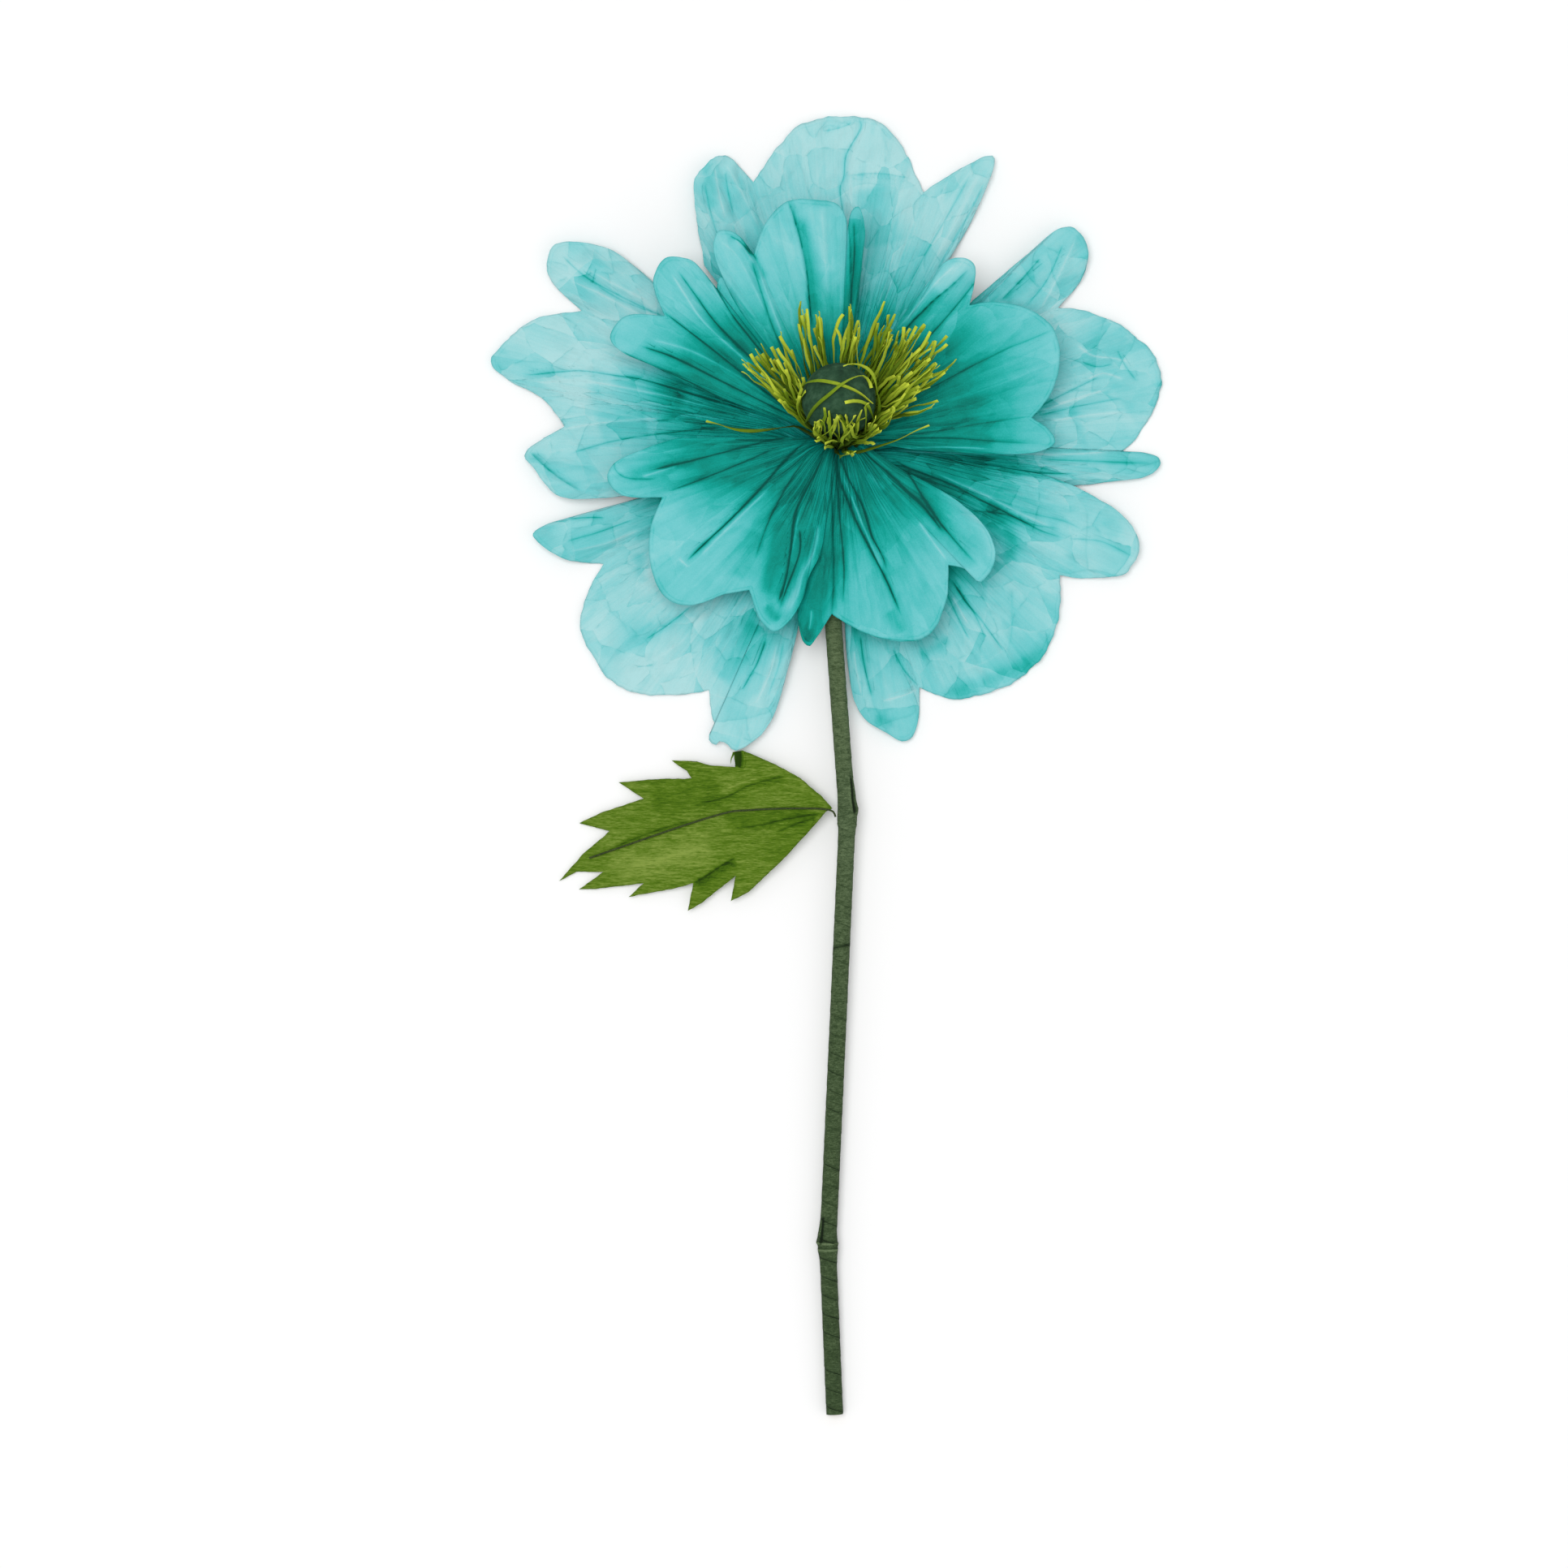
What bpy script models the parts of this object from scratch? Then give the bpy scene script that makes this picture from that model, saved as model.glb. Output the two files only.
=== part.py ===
# Paper flower on a crepe-wrapped bamboo cane, lying on its back as it comes to rest.
# Metres, +Z up. The flower's head points to +Y and the cut end of the cane to -Y.
# The lobes of the outer petals and the cane's cut end lie on the table at z = 0.

import math

import bmesh
import bpy
from mathutils import Vector
from mathutils.geometry import delaunay_2d_cdt

# Gap between pieces that touch, and steps between two given points of a curve
SEAT_GAP = 0.0003
CURVE_STEPS = 12

# Cane: three lengths between the cut end, two bamboo nodes and the head
LOWER_LENGTH = 0.103
MIDDLE_LENGTH = 0.265
UPPER_LENGTH = 0.204
LOWER_BEARING = -2.4
MIDDLE_BEARING = 2.6
UPPER_BEARING = -4.2
CANE_RISE = 1.45
CANE_RADIUS = 0.0044
NODE_SWELL = 0.0010
NODE_SPREAD = 0.0065
BUD_SWELL = 0.0016
BUD_LENGTH = 0.020
CANE_BORE_RADIUS = 0.0018
CANE_BORE_DEPTH = 0.040
CANE_SIDES = 12
NODE_STATIONS = [-1.6, -0.7, 0.0, 0.7, 1.6]

# Crepe strip wound up the cane
WRAP_THICKNESS = 0.0004
WRAP_LAP = 0.0003
WRAP_PITCH = 0.042
WRAP_RING_STEP = 0.023

# Neck: where the petals are gathered, and how far its axis leans back from upright
HEAD_HEIGHT = 0.0340
NECK_TILT = 37.0
NECK_SIDESTEP = 0.0092
NECK_FORWARD = 0.0270
NECK_DEPTH = 0.0120
LEVEL_RADIUS = 0.045

# Wire in the neck
WIRE_RADIUS = 0.0015
WIRE_SIDES = 8
WIRE_LEAD = 0.005
WIRE_BEND = 0.006
WIRE_BEND_END = 0.001
WIRE_BEND_STEPS = 7

# Ball and its paper cover
BALL_RADIUS = 0.0225
BALL_HEIGHT = 0.0366
COVER_THICKNESS = 0.0007
COVER_NECK_WALL = 0.0016
COVER_NECK_TOP = 0.0100
COVER_PLEAT = 0.0007
COVER_PLEAT_INWARD = 0.4
COVER_PLEAT_ROWS = {2: 1.0, 3: 0.45}
COVER_LEAVES_BALL = 2.2
BALL_SIDES = 16
BALL_ROWS = 7

# Stamens: three fringed strips rolled round the neck, inner one first
FRINGE_BAND = 0.0009
STRAND_WIDTH = 0.0013
STRAND_DEPTH = 0.0010
FRINGES = {
    "stamen_fringe_inner": {"strands": 28, "lean": 37.0, "length": 0.064},
    "stamen_fringe_middle": {"strands": 32, "lean": 43.0, "length": 0.070},
    "stamen_fringe_outer": {"strands": 36, "lean": 49.0, "length": 0.074},
}
TUFTS = 9
TUFT_PULL = 0.055
LEAN_SWAY = 1.6
LEAN_STEP = 2.4
LENGTH_SWAY = 0.07
LENGTH_STEP = 1.7
STRAND_KNEE = 0.45
CROSSING_START_OUT = 0.0085
CROSSING_START_UP = 0.0110
CROSSING_STEPS = 9
CROSSING_LIFT = 0.0014

# Strands that lie across the ball: the fringe strand each grows from, its lift off the ball in
# steps of CROSSING_LIFT, and its way over the ball as seen from above in ball radii
CROSSING_STRANDS = [
    {"bearing": 176, "lift": 1, "way": [(-0.93, 0.27), (-0.55, 0.54), (-0.10, 0.50), (0.42, 0.31), (0.86, -0.02)]},
    {"bearing": 228, "lift": 2, "way": [(-0.75, -0.50), (-0.48, -0.12), (-0.06, 0.30), (0.42, 0.62), (0.80, 0.48)]},
]

# Petal paper, the gathers at the foot and the shingling of one ring
PETAL_THICKNESS = 0.0004
GATHER_DEPTH = 0.0004
GATHER_FADE = 0.045
SHINGLE = 0.0013
SHINGLE_START = 0.003
FOOT_GAP = 4.0
LOBE_DOME = 0.0022
RIB_DEPTH = 0.0012
RIB_SPREAD = 0.09
SIDE_LOBE_COLUMNS = 6
CENTRE_LOBE_COLUMNS = 9
NECK_ROWS = [0.014, 0.025, 0.040]
LOBE_ROWS = [0.55, 1.0]

# The two rings of petals. reach is 100 on a petal's outline. flare is how fast a petal turns out
# of the neck, crown its height above the foot once level, and crown_lean the lift to the stem side
INNER_REACH = 0.1486
OUTER_REACH = 0.2000
INNER_RING = {"foot_height": 0.0, "flare": 0.007, "crown": 0.0018, "crown_lean": 0.0045}
INNER_DROOP = 0.075
INNER_DROOP_LEAN = 0.10
INNER_DROOP_EASE = 0.02
OUTER_RING = {"foot_height": -0.0065, "flare": 0.007, "crown": -0.0035, "crown_lean": 0.0}
OUTER_TIP_HEIGHT = 0.0010
OUTER_LANDING = 0.172
OUTER_SAG = 1.25

# Outlines as cut, seen from above: three lobes from notch to notch, clockwise, in hundredths of
# the ring's reach from the neck. foot is the part of the neck that the gathered foot holds, in
# degrees, and curl lifts the three lobe tips, in millimetres
INNER_PETALS = {
    "inner_petal_top": {
        "foot": (129, 73), "curl": (3.0, 6.0, 8.0),
        "lobes": [
            [(-42, 55), (-49, 70), (-51.3, 79), (-49, 85.5), (-41.5, 84), (-34.7, 76)],
            [(-34.7, 76), (-30, 88.5), (-21, 97.3), (-11, 98), (-1, 96.7), (3, 91), (3.5, 84)],
            [(3.5, 84), (5.2, 93), (8.5, 95), (10.8, 86), (10, 76), (8, 56)],
        ],
    },
    "inner_petal_upper_right": {
        "foot": (73, -15), "curl": (7.0, 2.0, 1.0),
        "lobes": [
            [(26, 50), (37, 64), (44, 72.6), (52, 74), (56.4, 69.5), (54, 55.3)],
            [(54, 55.3), (64, 56.4), (77, 53.8), (88, 46), (91, 32), (87, 18.5), (79.5, 9)],
            [(79.5, 9), (86.5, 4), (89, -1.5), (80, -5.5), (60, -6), (34, -4.6)],
        ],
    },
    "inner_petal_lower_right": {
        "foot": (-15, -102), "curl": (6.0, 1.0, -2.0),
        "lobes": [
            [(31, -15), (49, -25.7), (61, -37.5), (64.2, -49), (58.5, -58.7), (52, -53.2), (45.3, -51.7)],
            [(45.3, -51.7), (44.3, -66), (38.5, -79), (28, -83), (14, -80.7), (3, -75.3), (-2.7, -71.7)],
            [(-2.7, -71.7), (-9, -81.5), (-12.3, -84.8), (-15.5, -80), (-16.5, -66), (-11, -40)],
        ],
    },
    "inner_petal_lower_left": {
        "foot": (-102, -191), "curl": (5.0, 0.0, 2.0),
        "lobes": [
            [(-6.2, -34), (-8.2, -44), (-12, -54), (-17, -67), (-26.5, -79), (-32, -74), (-36.7, -62)],
            [(-36.7, -62), (-47, -63.7), (-60, -68), (-71, -65), (-77, -53), (-77.3, -37), (-72.3, -23.7)],
            [(-72.3, -23.7), (-88, -23.2), (-95, -16.5), (-91.5, -9.3), (-78, -3.2), (-66, 0.7)],
        ],
    },
    "inner_petal_upper_left": {
        "foot": (169, 129), "curl": (2.0, 4.0, 1.0),
        "lobes": [
            [(-56, 20), (-76.7, 30.3), (-89, 36), (-93.8, 42.5), (-86.5, 51), (-71.3, 50.7)],
            [(-71.3, 50.7), (-76, 64), (-71.5, 74), (-62, 74), (-57, 70.5), (-50, 62)],
            [(-50, 62), (-49, 66.5), (-46, 65.5), (-41.5, 59.2), (-35.5, 50.8)],
        ],
    },
}
OUTER_PETALS = {
    "outer_petal_top": {
        "foot": (133, 52), "curl": (6.0, 0.0, 5.0),
        "lobes": [
            [(-41, 54), (-44.3, 78), (-39, 86.4), (-33.5, 87.5), (-26, 80)],
            [(-26, 80), (-17, 92.8), (-8, 99), (9, 99.8), (19, 92), (26.4, 77)],
            [(26.4, 77), (34, 82), (45.5, 87.7), (47.8, 84.5), (41, 68), (34, 56.2)],
        ],
    },
    "outer_petal_upper_right": {
        "foot": (52, -11), "curl": (7.0, 0.0, 3.0),
        "lobes": [
            [(41.6, 43.5), (57, 56.5), (69.4, 66), (76.5, 61), (75.5, 51), (67.9, 41.5)],
            [(67.9, 41.5), (76, 40.5), (89, 34.5), (97.5, 26.5), (99, 15.5), (93, 3), (87.6, -2.8)],
            [(87.6, -2.8), (95, -3.3), (99.1, -5.5), (95.5, -10.3), (80, -12.6), (71.6, -13.3)],
        ],
    },
    "outer_petal_lower_right": {
        "foot": (-11, -95), "curl": (4.0, 0.0, 5.0),
        "lobes": [
            [(62, -10), (74, -14.3), (87, -22.3), (92.7, -31), (88.5, -40.2), (76, -41.9), (68.4, -41)],
            [(68.4, -41), (67.6, -55), (61.5, -68), (50, -75.8), (36, -79), (25.1, -75.5)],
            [(25.1, -75.5), (24.4, -87), (21, -91.8), (12, -88), (5.5, -81), (2.8, -66), (2.0, -52)],
        ],
    },
    "outer_petal_lower_left": {
        "foot": (-95, -162), "curl": (4.0, 0.0, 7.0),
        "lobes": [
            [(-10.6, -49.5), (-14.9, -68), (-21, -86.5), (-30.4, -94.5), (-40, -88.5), (-39.6, -76)],
            [(-39.6, -76), (-52, -78), (-66, -75.8), (-75, -67), (-79.3, -56), (-76.5, -45), (-71.9, -37.3)],
            [(-71.9, -37.3), (-84, -36), (-93.5, -29.5), (-90, -25.5), (-78, -22.0)],
        ],
    },
    "outer_petal_left": {
        "foot": (198, 133), "curl": (5.0, 0.0, 8.0),
        "lobes": [
            [(-56, -15), (-73, -17.4), (-86.3, -16.5), (-93, -8.8), (-96.4, -3.8), (-91, 1), (-84.1, 4.8)],
            [(-84.1, 4.8), (-91, 13.6), (-101, 19), (-106.6, 25.5), (-96.5, 36), (-87, 39.5), (-78.9, 40.5)],
            [(-78.9, 40.5), (-88, 49.5), (-89, 57.5), (-84.3, 61.4), (-71, 59.5), (-62.5, 54), (-56.5, 49)],
        ],
    },
}

# Tape round the petal feet
TAPE_THICKNESS = 0.0007
TAPE_TOP = -0.0085
TAPE_OVERLAP = 0.012
TAPE_SIDES = 18
TAPE_BEND_PLACE = 0.55
TAPE_BEND_LEAN = 0.6

# Leaf as seen from above: distance out from the stem, then towards the head, in millimetres from
# the end of its stalk. The upper edge runs out to the tip and the lower edge back to the stalk
LEAF_THICKNESS = 0.0004
LEAF_TIP_HEIGHT = 0.0012
LEAF_ARCH = 1.3
LEAF_SIDE_DROOP = 0.045
LEAF_VEIN_DEPTH = 0.0006
LEAF_VEIN_SPACING = 0.030
LEAF_VEIN_SLANT = 0.8
LEAF_FOLD_WIDTH = 0.012
LEAF_WIRE_RADIUS = 0.0006
LEAF_WIRE_SIDES = 6
LEAF_UPPER_EDGE = [(2.5, 5), (9.5, 13), (22, 23.5), (37, 32), (57.5, 40.7), (62.3, 40), (62, 30.5), (77.5, 31.5),
                   (86, 34), (101.5, 34.5), (92, 28), (89, 23.5), (113, 23), (134, 21), (118.5, 11), (143.5, 3),
                   (158.5, -4), (139.5, -9), (155.5, -22.5)]
LEAF_TIP = (171, -40)
LEAF_LOWER_EDGE = [(160, -34), (143.5, -34), (158.5, -45), (148, -44.5), (118.5, -41), (128, -49.5), (101, -44.5),
                   (88, -41), (91.5, -58), (83.5, -53.5), (62, -36.5), (65, -52), (54, -46.5), (31, -24.5),
                   (11, -2.5), (6.5, 3)]
LEAF_MIDRIB = [(9, 4.8), (19, 5.1), (37, 4.9), (54, 4), (67.5, 2.5), (92.5, -5), (124.5, -16), (152, -25.5)]
LEAF_FOLDS = [(22, 13), (44, 24), (50, 14), (72, 20), (80, 10), (100, 10), (118, -3), (142, -14),
              (26, -8), (46, -22), (52, -10), (70, -24), (78, -12), (100, -30), (106, -18), (132, -28)]


def clear_scene():
    for item in list(bpy.data.objects):
        bpy.data.objects.remove(item, do_unlink=True)


def smooth_step(share):
    share = min(1.0, max(0.0, share))
    return share * share * (3 - 2 * share)


def catmull(points, steps):
    """A smooth curve through the points, with steps + 1 evenly spaced samples."""
    padded = [points[0]] + list(points) + [points[-1]]
    fine = []
    for index in range(1, len(padded) - 2):
        a, b, c, d = (Vector(p) for p in padded[index - 1:index + 3])
        for part in range(CURVE_STEPS):
            t = part / CURVE_STEPS
            fine.append(0.5 * ((2 * b) + (c - a) * t + (2 * a - 5 * b + 4 * c - d) * t * t
                               + (3 * b - a - 3 * c + d) * t * t * t))
    fine.append(Vector(points[-1]))
    return resample(fine, steps)


def resample(points, steps):
    lengths = [0.0]
    for before, after in zip(points, points[1:]):
        lengths.append(lengths[-1] + (after - before).length)
    samples = []
    index = 0
    for step in range(steps + 1):
        target = lengths[-1] * step / steps
        while index < len(points) - 2 and lengths[index + 1] < target:
            index += 1
        span = max(lengths[index + 1] - lengths[index], 1e-12)
        samples.append(points[index].lerp(points[index + 1], (target - lengths[index]) / span))
    return samples


def make_material(name, colour, roughness):
    material = bpy.data.materials.new(name)
    material.use_nodes = True
    shader = material.node_tree.nodes["Principled BSDF"]
    shader.inputs["Base Color"].default_value = (*colour, 1.0)
    shader.inputs["Roughness"].default_value = roughness
    shader.inputs["Metallic"].default_value = 0.0
    material.diffuse_color = (*colour, 1.0)
    return material


def finish_object(name, bm, material, smooth_angle=40.0):
    bmesh.ops.recalc_face_normals(bm, faces=bm.faces[:])
    mesh = bpy.data.meshes.new(name)
    bm.to_mesh(mesh)
    bm.free()
    mesh.materials.append(material)
    mesh.shade_smooth()
    mesh.set_sharp_from_angle(angle=math.radians(smooth_angle))
    item = bpy.data.objects.new(name, mesh)
    bpy.context.collection.objects.link(item)
    return item


def bridge_loop(bm, lower, upper):
    count = len(lower)
    for index in range(count):
        after = (index + 1) % count
        bm.faces.new((lower[index], lower[after], upper[after], upper[index]))


def ring_frames(points):
    """A direction, a side and an up vector at each point of a path, without twist."""
    frames = []
    side = Vector((1, 0, 0))
    for index in range(len(points)):
        before = points[max(index - 1, 0)]
        after = points[min(index + 1, len(points) - 1)]
        along = (after - before).normalized()
        side = (side - along * side.dot(along)).normalized()
        frames.append((along, side, along.cross(side)))
    return frames


def sweep_tube(bm, points, radii, sides):
    """A closed round bar along the points. A radius may be a number or a function of the angle."""
    loops = []
    for point, radius, (along, side, up) in zip(points, radii, ring_frames(points)):
        loop = []
        for corner in range(sides):
            angle = 2 * math.pi * corner / sides
            size = radius(angle) if callable(radius) else radius
            loop.append(bm.verts.new(point + (side * math.cos(angle) + up * math.sin(angle)) * size))
        loops.append(loop)
    for lower, upper in zip(loops, loops[1:]):
        bridge_loop(bm, lower, upper)
    return loops


# Cane

def cane_direction(bearing):
    turn = math.radians(bearing)
    rise = math.radians(CANE_RISE)
    return Vector((math.sin(turn) * math.cos(rise), math.cos(turn) * math.cos(rise), math.sin(rise)))


def cane_knees():
    """Cut end, lower node, upper node and top of the cane, with the cut end at x = y = 0."""
    start = Vector((0, 0, wrap_radius()))
    lower_node = start + cane_direction(LOWER_BEARING) * LOWER_LENGTH
    upper_node = lower_node + cane_direction(MIDDLE_BEARING) * MIDDLE_LENGTH
    top = upper_node + cane_direction(UPPER_BEARING) * UPPER_LENGTH
    return [start, lower_node, upper_node, top]


def wrap_radius():
    return CANE_RADIUS + SEAT_GAP + WRAP_THICKNESS


def cane_point(distance):
    knees = cane_knees()
    for before, after in zip(knees, knees[1:]):
        length = (after - before).length
        if distance <= length:
            return before.lerp(after, distance / length)
        distance -= length
    return knees[-1]


def cane_length():
    return LOWER_LENGTH + MIDDLE_LENGTH + UPPER_LENGTH


def node_places():
    """Distance of each bamboo node from the cut end, and the side its bud stub is on."""
    return [(LOWER_LENGTH, math.pi), (LOWER_LENGTH + MIDDLE_LENGTH, 0.0)]


def node_swell(distance, angle):
    """Extra radius at the bamboo nodes and at the bud stub above each."""
    extra = 0.0
    for place, bud_angle in node_places():
        offset = distance - place
        extra += NODE_SWELL * math.exp(-(offset / NODE_SPREAD) ** 2)
        along = offset / BUD_LENGTH
        if 0 <= along < 1:
            around = max(0.0, math.cos(angle - bud_angle)) ** 4
            extra += BUD_SWELL * around * (1 - along) * smooth_step(along * 5)
    return extra


def cane_stations():
    stations = {0.0, cane_length()}
    for place, _ in node_places():
        for offset in NODE_STATIONS:
            stations.add(place + offset * NODE_SPREAD)
        stations.add(place + BUD_LENGTH)
    stations.add(LOWER_LENGTH + MIDDLE_LENGTH / 2)
    return sorted(stations)


def build_cane(material):
    bm = bmesh.new()
    stations = cane_stations()
    points = [cane_point(distance) for distance in stations]
    radii = [lambda angle, d=distance: CANE_RADIUS + node_swell(d, angle) for distance in stations]
    loops = sweep_tube(bm, points, radii, CANE_SIDES)
    frames = ring_frames(points)
    for end in (0, -1):
        inward = frames[end][0] * (1 if end == 0 else -1)
        rim = loops[end]
        centre = points[end]
        shrink = CANE_BORE_RADIUS / CANE_RADIUS
        mouth = [bm.verts.new(centre + (corner.co - centre) * shrink) for corner in rim]
        floor = [bm.verts.new(corner.co + inward * CANE_BORE_DEPTH) for corner in mouth]
        bridge_loop(bm, rim, mouth)
        bridge_loop(bm, mouth, floor)
        bm.faces.new(floor)
    return finish_object("bamboo_cane", bm, material)


def build_wrap(material):
    """Crepe strip round the cane. Each turn laps over the last, so the outside steps in a helix."""
    bm = bmesh.new()
    length = cane_length()
    count = round(length / WRAP_RING_STEP)
    outer_stations = sorted(set(length * ring / count for ring in range(count + 1))
                            | set(cane_stations()[1:-1]))
    outer_points = [cane_point(distance) for distance in outer_stations]

    def lapped(distance, angle):
        turn = (distance / WRAP_PITCH - angle / (2 * math.pi)) % 1.0
        return wrap_radius() + node_swell(distance, angle) + WRAP_LAP * (1 - turn)

    outer = sweep_tube(bm, outer_points, [lambda angle, d=d: lapped(d, angle) for d in outer_stations], CANE_SIDES)
    inner_stations = cane_stations()
    inner_points = [cane_point(distance) for distance in inner_stations]
    inner_radii = [lambda angle, d=d: CANE_RADIUS + SEAT_GAP + node_swell(d, angle) for d in inner_stations]
    inner = sweep_tube(bm, inner_points, inner_radii, CANE_SIDES)
    bridge_loop(bm, outer[0], inner[0])
    bridge_loop(bm, outer[-1], inner[-1])
    return finish_object("stem_wrap", bm, material)


# Neck and its own space: x and y across the neck, height along its axis

def head_centre():
    top = cane_knees()[-1]
    return Vector((top.x + NECK_SIDESTEP, top.y + NECK_FORWARD, HEAD_HEIGHT))


def neck_point(x, y, height):
    """Turns a place in the neck's own space into the flower's. Past LEVEL_RADIUS it stays level."""
    reach = math.hypot(x, y)
    ease = smooth_step((reach - inner_foot_radius()) / (LEVEL_RADIUS - inner_foot_radius()))
    tilt = math.radians(NECK_TILT) * (1 - ease)
    offset = Vector((x, y * math.cos(tilt) + height * math.sin(tilt), height * math.cos(tilt) - y * math.sin(tilt)))
    return head_centre() + offset


def axis_point(radius, bearing, height):
    """A place round the neck's straight axis, for what stands up in the middle of the flower."""
    tilt = math.radians(NECK_TILT)
    x = radius * math.cos(bearing)
    y = radius * math.sin(bearing)
    offset = Vector((x, y * math.cos(tilt) + height * math.sin(tilt), height * math.cos(tilt) - y * math.sin(tilt)))
    return head_centre() + offset


def cover_neck_radius():
    return WIRE_RADIUS + SEAT_GAP + COVER_NECK_WALL


def fringe_inner_radius(turn):
    return cover_neck_radius() + SEAT_GAP + turn * (FRINGE_BAND + SEAT_GAP)


def inner_foot_radius():
    return fringe_inner_radius(len(FRINGES)) + GATHER_DEPTH + PETAL_THICKNESS / 2


def outer_foot_radius():
    return inner_foot_radius() + 2 * GATHER_DEPTH + PETAL_THICKNESS + SEAT_GAP


def build_neck_wire(material):
    top = cane_knees()[-1]
    direction = cane_direction(UPPER_BEARING)
    foot = top - direction * (CANE_BORE_DEPTH - SEAT_GAP)
    bend = catmull([top, top + direction * WIRE_LEAD, axis_point(0, 0, -NECK_DEPTH - WIRE_BEND),
                    axis_point(0, 0, -NECK_DEPTH - WIRE_BEND_END)], WIRE_BEND_STEPS)
    points = [foot] + bend + [axis_point(0, 0, BALL_HEIGHT - SEAT_GAP)]
    bm = bmesh.new()
    loops = sweep_tube(bm, points, [WIRE_RADIUS] * len(points), WIRE_SIDES)
    bm.faces.new(loops[0])
    bm.faces.new(loops[-1])
    return finish_object("neck_wire", bm, material)


def turned_loops(bm, profile, sides, pleat=None):
    """Loops of corners round the neck's axis, one for each radius and height of the profile."""
    loops = []
    for row, (radius, height) in enumerate(profile):
        loop = []
        for corner in range(sides):
            size = radius
            if pleat:
                size += pleat(row, corner)
            loop.append(bm.verts.new(axis_point(size, 2 * math.pi * corner / sides, height)))
        loops.append(loop)
    for lower, upper in zip(loops, loops[1:]):
        bridge_loop(bm, lower, upper)
    return loops


def ball_profile(radius, start_radius, rows):
    """Points up a ball's side from where it has start_radius, without its top pole."""
    start = math.asin(start_radius / radius)
    points = []
    for row in range(rows):
        angle = start + (math.pi - start) * row / rows
        points.append((radius * math.sin(angle), BALL_HEIGHT - radius * math.cos(angle)))
    return points


def cap_top(bm, loop, height):
    pole = bm.verts.new(axis_point(0, 0, height))
    for index in range(len(loop)):
        bm.faces.new((loop[index], loop[(index + 1) % len(loop)], pole))


def core_radius():
    return BALL_RADIUS - COVER_THICKNESS - SEAT_GAP


def build_ball_core(material):
    bm = bmesh.new()
    bore = WIRE_RADIUS + SEAT_GAP
    skin = turned_loops(bm, ball_profile(core_radius(), bore, BALL_ROWS), BALL_SIDES)
    cap_top(bm, skin[-1], BALL_HEIGHT + core_radius())
    floor = [bm.verts.new(axis_point(bore, 2 * math.pi * corner / BALL_SIDES, BALL_HEIGHT))
             for corner in range(BALL_SIDES)]
    bridge_loop(bm, skin[0], floor)
    bm.faces.new(floor)
    return finish_object("ball_core", bm, material)


def build_ball_cover(material):
    """Paper pulled over the ball: pleated where it runs in to the neck, open at the neck's foot."""
    bm = bmesh.new()
    neck = cover_neck_radius()
    outside = [(neck, -NECK_DEPTH), (neck, COVER_NECK_TOP)] + ball_profile(BALL_RADIUS, neck * COVER_LEAVES_BALL, BALL_ROWS)

    def pleat(row, corner):
        fade = COVER_PLEAT_ROWS.get(row, 0.0)
        return COVER_PLEAT * fade * (1 if corner % 2 else -COVER_PLEAT_INWARD)

    outer = turned_loops(bm, outside, BALL_SIDES, pleat)
    cap_top(bm, outer[-1], BALL_HEIGHT + BALL_RADIUS)
    bore = WIRE_RADIUS + SEAT_GAP
    hollow = BALL_RADIUS - COVER_THICKNESS
    inside = [(bore, -NECK_DEPTH)] + ball_profile(hollow, bore, BALL_ROWS)
    inner = turned_loops(bm, inside, BALL_SIDES)
    cap_top(bm, inner[-1], BALL_HEIGHT + hollow)
    bridge_loop(bm, outer[0], inner[0])
    return finish_object("ball_cover", bm, material)


# Stamens

def strand_corners(bm, centre, along, outward):
    """Four corners of a strand's square section."""
    side = along.cross(outward).normalized()
    front = side.cross(along).normalized()
    corners = []
    for across, deep in ((-1, -1), (1, -1), (1, 1), (-1, 1)):
        corners.append(bm.verts.new(centre + side * across * STRAND_WIDTH / 2 + front * deep * STRAND_DEPTH / 2))
    return corners


def extrude_strand(bm, base, points, hub):
    """Runs a strand from its base corners through the points, with a cut end."""
    loop = base
    for index, point in enumerate(points):
        before = points[index - 1] if index else sum((corner.co for corner in base), Vector()) / 4
        after = points[min(index + 1, len(points) - 1)]
        along = (after - before).normalized()
        corners = strand_corners(bm, point, along, point - hub)
        bridge_loop(bm, loop, corners)
        loop = corners
    bm.faces.new(loop)


def crossing_points(crossing, base_radius):
    """From the fringe up the ball's flank and over its top."""
    bearing = math.radians(crossing["bearing"])
    centre = axis_point(0, 0, BALL_HEIGHT)
    radius = BALL_RADIUS + crossing["lift"] * CROSSING_LIFT
    rise = axis_point(base_radius + CROSSING_START_OUT, bearing, CROSSING_START_UP)
    way = [rise - centre]
    for x, y in crossing["way"]:
        z = math.sqrt(max(0.0, 1 - x * x - y * y))
        way.append(Vector((x, y, z)) * radius)
    return [rise] + [centre + spot.normalized() * radius for spot in catmull(way, CROSSING_STEPS)[1:]]


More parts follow.
